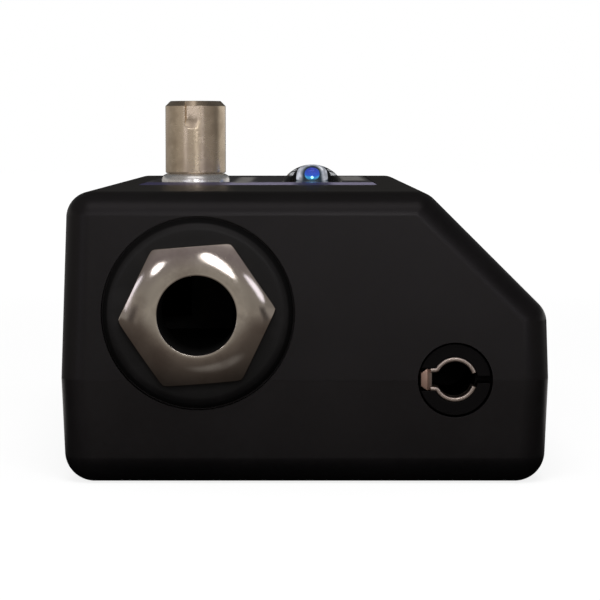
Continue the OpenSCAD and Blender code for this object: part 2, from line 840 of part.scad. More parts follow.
module control_bush() {
  bore_r = journal_d / 2 + running_gap;
  top_z = case_h + bush_rise;
  color("#c8c6c2") translate([control_x, control_y, 0]) rotate_extrude() polygon([
    [bore_r, cover_top - cover_plate],
    [bush_spigot_d / 2, cover_top - cover_plate],
    [bush_spigot_d / 2, cover_top],
    [bush_d / 2, cover_top],
    [bush_d / 2, top_z - bush_chamfer_h],
    [bush_d / 2 - bush_chamfer_r, top_z],
    [bore_r, top_z]
  ]);
}

module control_cover() {
  half = control_w / 2;
  in = half - cover_sheet;
  color("#b4b6b8") translate([control_x, control_y, 0]) {
    difference() {
      box([-half, -half, control_base_top], [half, half, cover_top]);
      box([-in, -in, control_base_top - 1], [in, in, cover_top - cover_plate]);
      cylinder(d = bush_spigot_d + 2 * press_gap, h = case_h);
    }
    box([-stop_w / 2, stop_r, rotor_z], [stop_w / 2, in + sliver, cover_top - cover_plate + sliver]);
  }
}

module control_rotor() {
  color("#e4e0d2") translate([control_x, control_y, 0]) difference() {
    union() {
      translate([0, 0, rotor_z]) cylinder(r = rotor_r, h = rotor_t);
      box([-stop_w / 2, -rotor_tab_r, rotor_z], [stop_w / 2, 0, rotor_z + rotor_t]);
    }
    cylinder(d = journal_d + 2 * press_gap, h = case_h);
  }
}

module control_wiper() {
  finger_r = (track_in_r + track_out_r) / 2;
  finger_z = control_base_top + track_t + wiper_lift;
  color("#cfa75c") translate([control_x, control_y, 0]) {
    difference() {
      translate([0, 0, rotor_z - wiper_t]) cylinder(r = wiper_r, h = wiper_t);
      cylinder(d = journal_d + 4 * press_gap, h = case_h);
    }
    translate([0, -finger_r, finger_z]) cylinder(d = finger_d, h = rotor_z - wiper_t - finger_z + sliver);
  }
}

module control_track() {
  color("#2b2622") translate([control_x, control_y, control_base_top])
    rotate([0, 0, -90 - track_angle / 2]) rotate_extrude(angle = track_angle)
      translate([track_in_r, 0]) square([track_out_r - track_in_r, track_t]);
}

module control_base() {
  half = control_w / 2;
  color("#5b3a26") translate([control_x, control_y, 0])
    box([-half, -half, control_board_top], [half, half, control_base_top]);
}

module control_terminals() {
  foot_z = control_board_top + control_base_t / 2;
  color("#c9c5ba") for (p = terminal_pins) {
    box(
      [p[0] - terminal_w / 2, p[1] - terminal_t / 2, control_board_bottom - pin_tail],
      [p[0] + terminal_w / 2, p[1] + terminal_t / 2, foot_z + terminal_t]
    );
    box(
      [p[0] - terminal_w / 2, p[1], foot_z],
      [p[0] + terminal_w / 2, control_y - control_w / 2, foot_z + terminal_t]
    );
  }
}

module led_lens() {
  color("#dfe8f2", 0.5) translate([led_x, led_y, 0]) difference() {
    union() {
      rotate_extrude() intersection() {
        union() {
          translate([0, case_h + lens_rise - lens_sphere_r]) circle(lens_sphere_r);
          square([lens_d / 2, case_h]);
        }
        translate([0, lens_foot_z]) square([lens_d / 2, overlay_t + lens_rise]);
      }
      translate([0, 0, lens_stem_z]) cylinder(d = lens_stem_d, h = lens_foot_z - lens_stem_z);
    }
    cylinder(d = led_d + 2 * led_gap, h = led_dome_z);
    translate([0, 0, led_dome_z]) sphere(d = led_d + 2 * led_gap);
  }
}

module led_lamp() {
  color("#3a7cff") translate([led_x, led_y, 0]) {
    translate([0, 0, led_foot_z]) cylinder(d = led_d, h = led_dome_z - led_foot_z);
    translate([0, 0, led_foot_z]) cylinder(d = led_flange_d, h = led_flange_h);
    translate([0, 0, led_dome_z]) sphere(d = led_d);
  }
}

module led_leads() {
  half = led_lead_w / 2;
  color("#c9c5ba") for (p = led_pins)
    box([p[0] - half, p[1] - half, control_board_bottom - pin_tail], [p[0] + half, p[1] + half, led_foot_z]);
}

// Rectangular hole through a board for a pin
module pin_hole(p, w, l) {
  translate([p[0], p[1]]) square([w + 2 * pin_gap, l + 2 * pin_gap], center = true);
}

module control_board() {
  color("#1f5a34") translate([0, 0, control_board_bottom]) linear_extrude(control_board_t) difference() {
    rounded_rect(
      control_board_left, control_board_front, control_board_right, control_board_rear, control_board_r
    );
    for (p = control_posts) translate(p) circle(d = small_screw_d + 2 * screw_gap);
    for (p = terminal_pins) pin_hole(p, terminal_w, terminal_t);
    for (p = led_pins) pin_hole(p, led_lead_w, led_lead_w);
    for (p = header_places) pin_hole(p, header_pin_w, header_pin_w);
  }
}

module control_board_screws() {
  color("#9a9a9c") for (p = control_posts)
    translate([p[0], p[1], control_board_bottom])
      screw(small_screw_d, small_screw_len, small_head_d, small_head_h);
}

module link_header_block() {
  right = header_x + (header_pins - 0.5) * header_pitch;
  color("#17171a") for (z = [board_top, control_board_bottom - header_w])
    translate([0, 0, z]) linear_extrude(header_w) difference() {
      translate([header_x - header_pitch / 2, header_y - header_w / 2])
        square([right - header_x + header_pitch / 2, header_w]);
      for (p = header_places) pin_hole(p, header_pin_w, header_pin_w);
    }
}

module link_header_pins() {
  half = header_pin_w / 2;
  end_z = control_board_top + header_pin_w;
  color("#d6b65a") for (p = header_places)
    box([p[0] - half, p[1] - half, board_bottom - pin_tail], [p[0] + half, p[1] + half, end_z]);
}

module main_board() {
  color("#1f5a34") translate([0, 0, board_bottom]) linear_extrude(board_t) difference() {
    rounded_rect(-board_x, -board_y, board_x, board_y, control_board_r);
    for (p = posts) translate(p) circle(d = screw_d + 2 * screw_gap);
    for (p = jack_pins) pin_hole(p, leaf_t, pin_w);
    for (p = header_places) pin_hole(p, header_pin_w, header_pin_w);
    pin_hole([socket_x + clip_tab_x + clip_tail_t / 2, clip_pin_y], clip_tail_t, pin_w);
    pin_hole([socket_x, small_pin_y], small_leaf_w, small_leaf_t);
  }
}

module radio_shield() {
  color("#c3c5c7") translate([shield_x, shield_y, board_top]) difference() {
    cube([shield_w, shield_l, shield_h]);
    box(
      [shield_sheet, shield_sheet, -1],
      [shield_w - shield_sheet, shield_l - shield_sheet, shield_h - shield_sheet]
    );
  }
}

module antenna() {
  color("#c9b98e") translate([-antenna_w / 2, antenna_y, board_top]) {
    box([0, 0, antenna_h - antenna_strip], [antenna_w, antenna_t, antenna_h]);
    for (x = [0, antenna_feed]) box([x, 0, 0], [x + antenna_foot, antenna_t, antenna_h]);
  }
}

module board_chips() {
  color("#1b1b1d") for (c = chips)
    box([c[0], c[1], board_top], [c[0] + c[2], c[1] + c[2], board_top + chip_t]);
}

module board_capacitors() {
  color("#2c3140") for (p = caps) translate([p[0], p[1], board_top]) cylinder(d = cap_d, h = cap_h);
}

module battery_cell() {
  color("#b9bcc2") facing_front(0, cell_y + cell_l, 0) linear_extrude(cell_l)
    rounded_rect(cell_x, cell_z, cell_x + cell_w, cell_z + cell_t, cell_edge_r);
}

module battery_pad() {
  inset = cell_edge_r + 0.4;
  color("#34343a") box(
    [cell_x + inset, cell_y + inset, board_top],
    [cell_x + cell_w - inset, cell_y + cell_l - inset, cell_z]
  );
}

module battery_socket() {
  rim = plug_wall + plug_fit;
  color("#e6e1d0") difference() {
    box(
      [plug_x - rim, plug_y - rim, board_top],
      [plug_x + plug_w + rim, plug_y + plug_l + rim, board_top + plug_h]
    );
    box(
      [plug_x - plug_fit, plug_y - plug_fit, board_top + plug_wall],
      [plug_x + plug_w + plug_fit, plug_y + plug_l + plug_fit, case_h]
    );
  }
}

module battery_plug() {
  color("#efece0") box(
    [plug_x, plug_y, board_top + plug_wall],
    [plug_x + plug_w, plug_y + plug_l, board_top + plug_h + plug_stand]
  );
}

module battery_leads() {
  for (side = [-1, 1])
    color(side < 0 ? "#1a1a1a" : "#b3201f")
      y_rod(
        lead_d, plug_y + plug_l, cell_y,
        plug_x + plug_w / 2 + side * lead_pitch / 2, board_top + plug_h + plug_stand / 2
      );
}

upper_case();
lower_case();
case_screws();
top_overlay();
input_jack_body();
input_jack_washer();
input_jack_nut();
input_jack_tip_spring();
input_jack_switch_spring();
input_jack_sleeve_spring();
charge_socket_body();
charge_socket_clip();
charge_socket_tip_spring();
control_shaft();
control_bush();
control_cover();
control_rotor();
control_wiper();
control_track();
control_base();
control_terminals();
led_lens();
led_lamp();
led_leads();
control_board();
control_board_screws();
link_header_block();
link_header_pins();
main_board();
radio_shield();
antenna();
board_chips();
board_capacitors();
battery_cell();
battery_pad();
battery_socket();
battery_plug();
battery_leads();
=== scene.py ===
import math

import bmesh
import bpy
import numpy as np
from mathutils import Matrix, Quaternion, Vector


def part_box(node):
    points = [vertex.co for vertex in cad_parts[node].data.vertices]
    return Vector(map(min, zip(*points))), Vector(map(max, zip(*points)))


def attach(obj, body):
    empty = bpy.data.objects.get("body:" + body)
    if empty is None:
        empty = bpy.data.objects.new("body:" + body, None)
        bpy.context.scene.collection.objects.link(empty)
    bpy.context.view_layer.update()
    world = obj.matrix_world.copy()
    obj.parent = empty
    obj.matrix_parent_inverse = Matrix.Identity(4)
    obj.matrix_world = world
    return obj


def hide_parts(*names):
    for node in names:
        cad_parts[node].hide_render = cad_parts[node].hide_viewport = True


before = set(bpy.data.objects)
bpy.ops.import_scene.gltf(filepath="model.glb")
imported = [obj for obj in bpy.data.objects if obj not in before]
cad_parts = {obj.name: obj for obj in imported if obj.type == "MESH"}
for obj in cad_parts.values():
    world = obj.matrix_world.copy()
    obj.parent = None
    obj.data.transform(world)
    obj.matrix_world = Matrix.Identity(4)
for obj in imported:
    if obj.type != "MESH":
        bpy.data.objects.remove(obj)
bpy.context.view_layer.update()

mm = 0.001
tau = 2 * math.pi
scene = bpy.context.scene
scene.view_settings.view_transform = "Standard"

# Camera: a long lens straight in front of the face, a little above the top
photoCamera = {
    "place": (-0.40, -235.19, 28.905),  # mm
    "tiltDown": 3.98,  # degrees
    "focal": 142.92,
    "sensor": 36.0,
}


def makeCamera(setup):
    data = bpy.data.cameras.new("photoCamera")
    data.lens = setup["focal"]
    data.sensor_width = setup["sensor"]
    data.sensor_fit = "HORIZONTAL"
    data.clip_start = 0.01
    camera = bpy.data.objects.new("photoCamera", data)
    camera.location = [value * mm for value in setup["place"]]
    camera.rotation_euler = (math.radians(90 - setup["tiltDown"]), 0, 0)
    scene.collection.objects.link(camera)
    scene.camera = camera


makeCamera(photoCamera)
print("camera ready")


# Node trees
class Wire:
    # One socket of a node tree. Sums, products and powers of wires add Math nodes to the tree.
    def __init__(self, tree, socket=None):
        self.tree = tree
        self.socket = socket

    def add(self, kind, settings=None, sockets=None, out=0):
        node = self.tree.nodes.new(kind)
        for key, value in (settings or {}).items():
            if key == "stops":
                fillRamp(node.color_ramp, value)
            else:
                setattr(node, key, value)
        for key, value in (sockets or {}).items():
            if isinstance(value, Wire):
                self.tree.links.new(value.socket, node.inputs[key])
            else:
                node.inputs[key].default_value = value
        return Wire(self.tree, node.outputs[out] if node.outputs else None)

    def maths(self, operation, first, second=0.0):
        return self.add("ShaderNodeMath", {"operation": operation}, {0: first, 1: second})

    def __add__(self, other):
        return self.maths("ADD", self, other)

    __radd__ = __add__

    def __sub__(self, other):
        return self.maths("SUBTRACT", self, other)

    def __rsub__(self, other):
        return self.maths("SUBTRACT", other, self)

    def __mul__(self, other):
        return self.maths("MULTIPLY", self, other)

    __rmul__ = __mul__

    def __truediv__(self, other):
        return self.maths("DIVIDE", self, other)

    def __pow__(self, other):
        return self.maths("POWER", self, other)

    def __abs__(self):
        return self.maths("ABSOLUTE", self)

    def larger(self, other):
        return self.maths("MAXIMUM", self, other)


def fillRamp(scale, stops):
    while len(scale.elements) < len(stops):
        scale.elements.new(1.0)
    for element, (position, colour) in zip(scale.elements, stops):
        element.position = position
        element.color = (*colour, 1.0)


def ramp(value, stops):
    return value.add("ShaderNodeValToRGB", {"stops": stops}, {"Fac": value})


def noise(at, size, detail=2.0, rough=0.5):
    # Cloudy grey values around 0.5, with spots about size mm across
    sockets = {"Vector": at, "Scale": 1 / (size * mm), "Detail": detail, "Roughness": rough}
    return at.add("ShaderNodeTexNoise", {}, sockets)


def stretched(at, scale):
    return at.add("ShaderNodeMapping", {}, {"Vector": at, "Scale": scale})


def centred(at, centre):
    shift = [-value * mm for value in centre]
    return at.add("ShaderNodeMapping", {}, {"Vector": at, "Location": shift})


def split(at):
    parts = at.add("ShaderNodeSeparateXYZ", {}, {"Vector": at}).socket.node.outputs
    return [Wire(at.tree, part) for part in parts]


def distance(at):
    # Metres from the origin of the coordinates
    return at.add("ShaderNodeVectorMath", {"operation": "LENGTH"}, {0: at}, "Value")


def step(value, low, high, unit=1.0):
    # 0 below low and 1 above high, smooth between them
    sockets = {"Value": value, "From Min": low * unit, "From Max": high * unit}
    return value.add("ShaderNodeMapRange", {"interpolation_type": "SMOOTHSTEP"}, sockets)


def between(value, limits, unit=mm):
    # 0 outside the first and the last limit, 1 between the other two
    first, second, third, last = limits
    return step(value, first, second, unit) * (1 - step(value, third, last, unit))


def softened(low, high, soft):
    # The limits of a strip whose two edges are soft to each side
    return low - soft, low + soft, high - soft, high + soft


def blend(share, first, second):
    colours = [value if isinstance(value, Wire) else (*value, 1.0) for value in (first, second)]
    sockets = {0: share, 6: colours[0], 7: colours[1]}
    return share.add("ShaderNodeMix", {"data_type": "RGBA"}, sockets, out=2)


def bump(height, depth, strength=1.0):
    sockets = {"Height": height, "Distance": depth * mm, "Strength": strength}
    return height.add("ShaderNodeBump", {}, sockets)


def emptyMaterial(name):
    # A material that holds only its Object coordinates
    material = bpy.data.materials.new(name)
    material.use_nodes = True
    material.node_tree.nodes.clear()
    return material, Wire(material.node_tree).add("ShaderNodeTexCoord", out="Object")


def newFinish(name, varying, fixed, over=None):
    # varying turns Object coordinates into the sockets that change over the surface,
    # and over mixes another shader with the first
    material, at = emptyMaterial(name)
    shader = at.add("ShaderNodeBsdfPrincipled", {}, {**fixed, **varying(at)})
    if over:
        shader = over(at, shader)
    at.add("ShaderNodeOutputMaterial", {}, {"Surface": shader})
    return material


# Meshes
def gridFaces(rows, cols):
    # Quads between neighbouring rows and columns, with the last line of each joined to its first
    row, col = np.meshgrid(np.arange(rows), np.arange(cols), indexing="ij")
    nextRow = (row + 1) % rows
    nextCol = (col + 1) % cols
    corners = [row * cols + col, nextRow * cols + col, nextRow * cols + nextCol, row * cols + nextCol]
    return np.stack(corners, -1).reshape(-1, 4)


def mergedPoints(points, faces):
    grid = 0.0001 * mm  # points within a tenth of a micron become one
    keys = np.round(points / grid).astype(np.int64)
    _, first, back = np.unique(keys, axis=0, return_index=True, return_inverse=True)
    return points[first], back.reshape(-1)[faces]


def outward(points, faces):
    # Faces turn over if the volume that they enclose comes out negative
    a, b, c, d = (points[faces[:, i]] for i in (0, 1, 2, -1))
    volume = np.einsum("ij,ij", a, np.cross(b, c)) + np.einsum("ij,ij", a, np.cross(c, d))
    return faces if volume > 0 else faces[:, ::-1]


def putPiece(name, mesh, sharp):
    # Smooth shading that stops at edges of more than sharp degrees
    mesh.shade_smooth()
    mesh.set_sharp_from_angle(angle=math.radians(sharp))
    piece = bpy.data.objects.new(name, mesh)
    scene.collection.objects.link(piece)
    return piece


def putMesh(name, points, faces, sharp=35):
    points, faces = mergedPoints(np.asarray(points, float).reshape(-1, 3), faces)
    polygons = [list(dict.fromkeys(face)) for face in outward(points, faces).tolist()]
    mesh = bpy.data.meshes.new(name)
    mesh.from_pydata(points.tolist(), [], [face for face in polygons if len(face) > 2])
    return putPiece(name, mesh, sharp)


def lathe(name, profile, centre, segments, forward=False):
    # A closed profile of radii and heights carried once round an axis that points up or to the front:
    # across = r cos(t), along = r sin(t), and the height runs along the axis.
    radius, height = np.asarray(profile, float).T
    turn = np.linspace(0, tau, segments, endpoint=False)
    across = np.outer(radius, np.cos(turn))
    along = np.outer(radius, np.sin(turn))
    rise = np.repeat(height[:, None], segments, 1)
    parts = (across, -rise, along) if forward else (across, along, rise)
    points = np.stack(parts, -1) + np.asarray(centre, float)
    return putMesh(name, points * mm, gridFaces(len(radius), segments))


def arc(r, h, radius, start, end, count):
    # Points on a circle about (r, h) from one angle to the other, in degrees
    turn = np.radians(np.linspace(start, end, count))
    return list(zip(r + radius * np.cos(turn), h + radius * np.sin(turn)))


def loft(rows):
    # Rings of points joined one to the next, with a point in the middle of the end rings closing them
    rows = np.asarray(rows, float)
    ends = rows[[0, -1]].mean(1, keepdims=True).repeat(rows.shape[1], 1)
    points = np.concatenate([ends[:1], rows, ends[1:]])
    return points.reshape(-1, 3), gridFaces(*points.shape[:2])


def joined(parts):
    counts = np.cumsum([0] + [len(points) for points, faces in parts])
    faces = [outward(points, faces) + count for (points, faces), count in zip(parts, counts)]
    return np.concatenate([points for points, faces in parts]), np.concatenate(faces)


def roundedLoop(across, along, radius, count=6):
    # A rectangle of two half widths with a quarter circle on each corner
    corners = [(1, 1, 0), (-1, 1, 90), (-1, -1, 180), (1, -1, 270)]
    inX, inY = across - radius, along - radius
    arcs = [arc(x * inX, y * inY, radius, start, start + 90, count) for x, y, start in corners]
    return np.concatenate(arcs)


def skin(name, node, flat=0.6, sharp=30):
    # A copy of a CAD node with its loose triangles joined and faces within flat degrees made whole
    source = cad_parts[node].data
    points = np.zeros(len(source.vertices) * 3)
    source.vertices.foreach_get("co", points)
    source.calc_loop_triangles()
    faces = np.zeros(len(source.loop_triangles) * 3, np.int32)
    source.loop_triangles.foreach_get("vertices", faces)
    points, faces = mergedPoints(points.reshape(-1, 3), faces.reshape(-1, 3))
    mesh = bpy.data.meshes.new(name)
    mesh.from_pydata(points.tolist(), [], [face for face in faces.tolist() if len(set(face)) > 2])
    work = bmesh.new()
    work.from_mesh(mesh)
    bmesh.ops.dissolve_limit(work, angle_limit=math.radians(flat), verts=work.verts, edges=work.edges)
    work.to_mesh(mesh)
    work.free()
    return putPiece(name, mesh, sharp)


def easeEdges(piece, width, segments=2, angle=35):
    # Rounds the sharp edges by width mm and keeps the flats flat; a second finish goes on the rounding
    edge = piece.modifiers.new("easedEdges", "BEVEL")
    edge.width = width * mm
    edge.segments = segments
    edge.limit_method = "ANGLE"
    edge.angle_limit = math.radians(angle)
    edge.harden_normals = False
    if len(piece.data.materials) > 1:
        edge.material = 1
    weigh = piece.modifiers.new("flatsKept", "WEIGHTED_NORMAL")
    weigh.keep_sharp = True


def place(piece, body, node, slotName, *finishes):
    for finish in finishes:
        piece.data.materials.append(finish)
    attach(piece, body)
    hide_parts(node)


# Case: black moulded plastic with a fine spark-eroded grain, a little polished on its edges
caseLook = {
    "colour": (0.0036, 0.0032, 0.0033),
    "paler": (0.0058, 0.0052, 0.0054),
    "edgeColour": (0.0075, 0.0070, 0.0072),
    "rough": 0.36,
    "edgePolish": 0.06,  # how much smoother the edges are
    "cloud": 9.0,  # mm
    "speck": 0.5,  # mm
    "scuff": 3.0,  # mm
    "scuffFlat": 7,  # times wider than high
    "grain": 0.22,  # mm
    "grainDepth": 0.006,  # mm
    "shine": 0.27,
    "shineTint": (1.0, 0.95, 0.99, 1.0),
    "ease": 0.05,  # mm
}
lowerLook = caseLook | {"shine": 0.38}  # moulded apart, and a little glossier


def mouldedPlastic(name, look, worn):
    def varying(at):
        cloud = noise(at, look["cloud"], 3.0)
        speck = noise(at, look["speck"], 4.0, 0.7)
        grain = noise(at, look["grain"], 2.0, 0.6)
        flattened = stretched(at, (1, 1, look["scuffFlat"]))
        scuff = step(noise(flattened, look["scuff"], 5.0, 0.75), 0.60, 0.72)
        tone = step(cloud * 0.7 + speck * 0.3, 0.35, 0.68)
        rough = look["rough"] - look["edgePolish"] * worn
        return {
            "Base Color": blend(tone, look["edgeColour"] if worn else look["colour"], look["paler"]),
            "Roughness": rough + (cloud - 0.5) * 0.10 + (speck - 0.5) * 0.08 + scuff * 0.06,
            "Normal": bump(grain + speck * 0.5, look["grainDepth"], 0.5),
        }

    fixed = {"Specular IOR Level": look["shine"], "Specular Tint": look["shineTint"]}
    return newFinish(name, varying, fixed)


def plasticPair(name, look):
    # The plain finish and the one on rounded edges
    return [mouldedPlastic(name + kind, look, worn) for worn, kind in enumerate(("Plastic", "Edge"))]


for half, look in (("upper", caseLook), ("lower", lowerLook)):
    shell = skin("case_shell_" + half, half + "_case")
    place(shell, "case", half + "_case", "case_" + half, *plasticPair(half, look))
    easeEdges(shell, look["ease"])
print("case shells made")

# Overlay: satin film with a pale violet band along its front and a printed dial round the control
overlayLook = {
    "film": (0.024, 0.023, 0.026),
    "filmPaler": 1.35,  # times that colour, in clouds
    "band": (0.31, 0.285, 0.42),
    "bandDeep": (0.040, 0.036, 0.110),
    "bandPale": ((-8.2, -6.6, -1.4, -0.4), (2.0, 3.0, 9.0, 10.0)),  # where the band is pale, in mm across
    "front": -14.0,  # mm
    "bandEdges": (0.6, 1.0, 11.0, 15.0),  # mm behind the front
    "ink": (0.30, 0.30, 0.34),
    "dial": (-10.801, 2.8),  # mm
    "dialRadius": (5.0, 6.2),  # mm
    "dialSoft": 0.05,  # mm
    "sweep": 150,  # degrees to each side of straight ahead
    "ticks": 11,
    "tickHalf": (0.05, 0.075),  # share of the way to the next tick
    "field": (0.25, 0.24, 0.23),
    "fields": ((-6.9, -5.3, -4.0, 27.0), (3.9, 6.3, 8.0, 33.0)),  # blank areas: left, right, front, rear
    "fieldSoft": (0.4, 3.0),  # mm across and along
    "weave": 0.12,  # mm
    "cloud": 5.0,  # mm
    "wear": 1.2,  # mm
    "rough": 0.40,
    "shine": 0.35,
    "ease": 0.03,  # mm
}


def printedFilm(look):
    def varying(at):
        x, y, _ = split(at)
        weave = noise(at, look["weave"], 2.0)
        cloud = noise(at, look["cloud"], 3.0)
        worn = step(noise(at, look["wear"], 5.0, 0.7), 0.35, 0.55)
        band = between(y, [look["front"] + edge for edge in look["bandEdges"]])
        paleLeft, paleRight = (between(x, limits) for limits in look["bandPale"])
        bandColour = blend(paleLeft + paleRight, look["bandDeep"], look["band"])
        dx, dy, _ = split(centred(at, (*look["dial"], 0)))
        radius = (dx * dx + dy * dy) ** 0.5
        lastTick = (look["ticks"] - 1) / 2
        angle = dx.maths("ARCTAN2", dx, -1 * dy) / math.radians(look["sweep"] / lastTick)
        near = abs(angle - angle.maths("ROUND", angle))
        ring = between(radius, softened(*look["dialRadius"], look["dialSoft"]))
        swept = 1 - step(abs(angle), lastTick + 0.05, lastTick + 0.1)
        ticks = ring * swept * (1 - step(near, *look["tickHalf"]))
        film = blend(cloud, look["film"], [value * look["filmPaler"] for value in look["film"]])
        colour = blend(band * (0.65 + worn * 0.35), film, bandColour)
        colour = blend(ticks * (0.7 + worn * 0.3), colour, look["ink"])
        softAcross, softAlong = look["fieldSoft"]
        for left, right, fore, rear in look["fields"]:
            wide = between(x, softened(left, right, softAcross))
            deep = between(y, softened(fore, rear, softAlong))
            colour = blend(wide * deep * (0.6 + worn * 0.4), colour, look["field"])
        return {
            "Base Color": colour,
            "Roughness": look["rough"] + (cloud - 0.5) * 0.16 + (weave - 0.5) * 0.1,
            "Normal": bump(weave + ticks * 0.6, 0.004, 0.5),
        }

    return newFinish("overlayFilm", varying, {"Specular IOR Level": look["shine"]})


overlay = skin("overlay_film", "top_overlay")
place(overlay, "case", "top_overlay", "overlay_film", printedFilm(overlayLook))
easeEdges(overlay, overlayLook["ease"])
print("overlay made")

# Input jack: black washer and domed nickel nut; lengths in mm
jack = {
    "x": -8.80065,
    "z": 14.2,
    "seat": -39.10713,  # where the washer sits
    "washerRadius": 7.85,
    "washerHole": 4.65,
    "washerThick": 1.4,
    "washerRound": 1.0,
    "washerSmall": 0.12,
    "washerSegments": 192,
    "flats": 11.3,
    "turn": 4.5,  # degrees
    "nutThick": 2.0,
    "crest": 3.41,
    "dome": 7.1,
    "mouth": 3.25,
    "mouthRound": 0.06,
    "cornerRadius": 6.46,
    "cornerSharp": 90.0,
    "crownRows": 22,
    "lip": 0.5,
    "thread": 4.55,
    "segments": 360,
    "nutSharp": 28,  # degrees
    "nutEase": (0.07, 3, 28),  # width, segments, and degrees
}


def makeWasher(setup):
    # A flat ring with a rounded rim and an eased hole
    thick, edge, small = setup["washerThick"], setup["washerRound"], setup["washerSmall"]
    outer, hole = setup["washerRadius"], setup["washerHole"]
    profile = [(hole, 0), (outer, 0)]
    profile += arc(outer - edge, thick - edge, edge, 0, 90, 14)
    profile += [(hole + (outer - edge - hole) * share, thick) for share in (0.75, 0.5, 0.25)]
    profile += arc(hole + small, thick - small, small, 90, 180, 5)
    centre = (setup["x"], setup["seat"], setup["z"])
    return lathe("jack_washer", profile, centre, setup["washerSegments"], forward=True)


def makeNut(setup):
    # Round the axis the wall stands at the hexagon's radius, flats / 2 / cos(angle from the nearest flat),
    # taken in at the corners to about cornerRadius by a sum of high powers, and the front is the dome's
    # arc about the crest: h = thick - dome + sqrt(dome^2 - (r - crest)^2).
    thick, dome, crest = setup["nutThick"], setup["dome"], setup["crest"]
    mouth, small = setup["mouth"], setup["mouthRound"]
    turn = np.linspace(0, tau, setup["segments"], endpoint=False)
    outer = setup["flats"] / 2 / np.cos(np.mod(turn, tau / 6) - tau / 12)
    power = -setup["cornerSharp"]
    outer = (outer**power + setup["cornerRadius"] ** power) ** (1 / power)

    def rise(r):
        return thick - dome + np.sqrt(dome * dome - (r - crest) ** 2)

    same = np.ones_like(outer)
    inner = mouth + small
    crown = [outer + (inner - outer) * share for share in np.linspace(0.06, 1, setup["crownRows"])]
    floor = thick - setup["lip"]
    rows = [(same * setup["thread"], same * 0), (outer, same * 0)]
    rows += [(outer, rise(outer) * share) for share in (0.4, 0.8, 1.0)]
    rows += [(r, rise(r)) for r in crown]
    rows += [(same * r, same * h) for r, h in arc(inner, rise(inner) - small, small, 90, 180, 6)]
    rows += [(same * mouth, same * floor), (same * setup["thread"], same * floor)]
    radius = np.array([row[0] for row in rows])
    height = np.array([row[1] for row in rows])
    turned = turn + math.radians(setup["turn"])
    points = np.stack(
        [
            setup["x"] + radius * np.cos(turned),
            setup["seat"] - setup["washerThick"] - height,
            setup["z"] + radius * np.sin(turned),
        ],
        -1,
    )
    return putMesh("jack_nut", points * mm, gridFaces(*radius.shape), setup["nutSharp"])


nickelLook = {
    "plate": (0.50, 0.45, 0.405),
    "rubbedAndPaintedSheen": (0.62, 0.565, 0.51),  # painted reflection: a brighter colour round the mouth
    "paintedSheenTo": (3.9, 4.7),  # mm from the axis
    "tarnish": (0.36, 0.305, 0.27),
    "rough": 0.075,
    "metal": 1.0,
}
plateMarks = {
    "rings": 0.12,  # mm
    "ringsTight": 3,
    "stain": 2.6,  # mm
    "scratch": 1.4,  # mm
    "scratchFlat": 14,  # times wider than high
    "waves": 0.7,  # mm
}


def nickelPlate(name, look, axis, marks=plateMarks):
    # Plated metal: fine turning marks round an axis from front to back, thin tarnish and a few scratches,
    # and, where the look has one, a painted brighter reflection round the mouth
    def varying(at):
        x, y, z = split(centred(at, axis))
        radius = (x * x + z * z) ** 0.5
        tight = marks["ringsTight"]
        turned = at.add("ShaderNodeCombineXYZ", {}, {"X": radius * tight, "Y": y * tight})
        rings = noise(turned, marks["rings"], 3.0)
        stain = step(noise(at, marks["stain"], 4.0, 0.6), 0.40, 0.70)
        flattened = stretched(at, (1, 1, marks["scratchFlat"]))
        scratch = step(noise(flattened, marks["scratch"], 5.0, 0.7), 0.66, 0.72)
        plate = look["plate"]
        # painted reflection: the brighter colour round the mouth stands in for light
        if "rubbedAndPaintedSheen" in look:
            plate = blend(step(radius, *look["paintedSheenTo"], mm), look["rubbedAndPaintedSheen"], plate)
        return {
            "Base Color": blend(stain * 0.7 + scratch * 0.2, plate, look["tarnish"]),
            "Roughness": look["rough"] + stain * 0.06 + (rings - 0.5) * 0.06 + scratch * 0.12,
            "Normal": bump(rings * 0.5 + noise(at, marks["waves"], 2.0) * 0.5, 0.006, 0.35),
        }

    return newFinish(name, varying, {"Metallic": look["metal"]})


washerLook = {
    "colour": (0.0072, 0.0066, 0.0068),
    "rubbedAndPaintedSheen": (0.0122, 0.0112, 0.0115),
    # painted shade: a near black ring on the rounded edge stands in for the shadow in the gap round the
    # washer
    "rim": (0.0012, 0.0011, 0.0012),
    "rimFrom": (7.35, 7.55),  # mm from the axis
    "rough": 0.44,
    "cloud": 3.0,  # mm
    "grain": 0.15,  # mm
    "shine": 0.24,
}


def blackWasher(look, axis):
    def varying(at):
        x, _, z = split(centred(at, axis))
        # painted shade: the ring near the edge is darkened for the shadow in the gap round the washer
        rim = step((x * x + z * z) ** 0.5, *look["rimFrom"], mm)
        cloud = noise(at, look["cloud"], 4.0, 0.6)
        grain = noise(at, look["grain"], 3.0, 0.6)
        face = blend(step(cloud, 0.45, 0.75), look["colour"], look["rubbedAndPaintedSheen"])
        return {
            "Base Color": blend(rim, face, look["rim"]),
            "Roughness": look["rough"] + rim * 0.4 + (cloud - 0.5) * 0.14 + (grain - 0.5) * 0.10,
            "Normal": bump(grain, 0.004, 0.4),
        }

    return newFinish("washerBlack", varying, {"Specular IOR Level": look["shine"]})


jackAxis = (jack["x"], jack["seat"], jack["z"])
washer = makeWasher(jack)
place(washer, "case", "input_jack_washer", "washer_black", blackWasher(washerLook, jackAxis))
nut = makeNut(jack)
place(nut, "case", "input_jack_nut", "nickel_plate", nickelPlate("nutNickel", nickelLook, jackAxis))
easeEdges(nut, *jack["nutEase"])
print("jack washer and nut made")

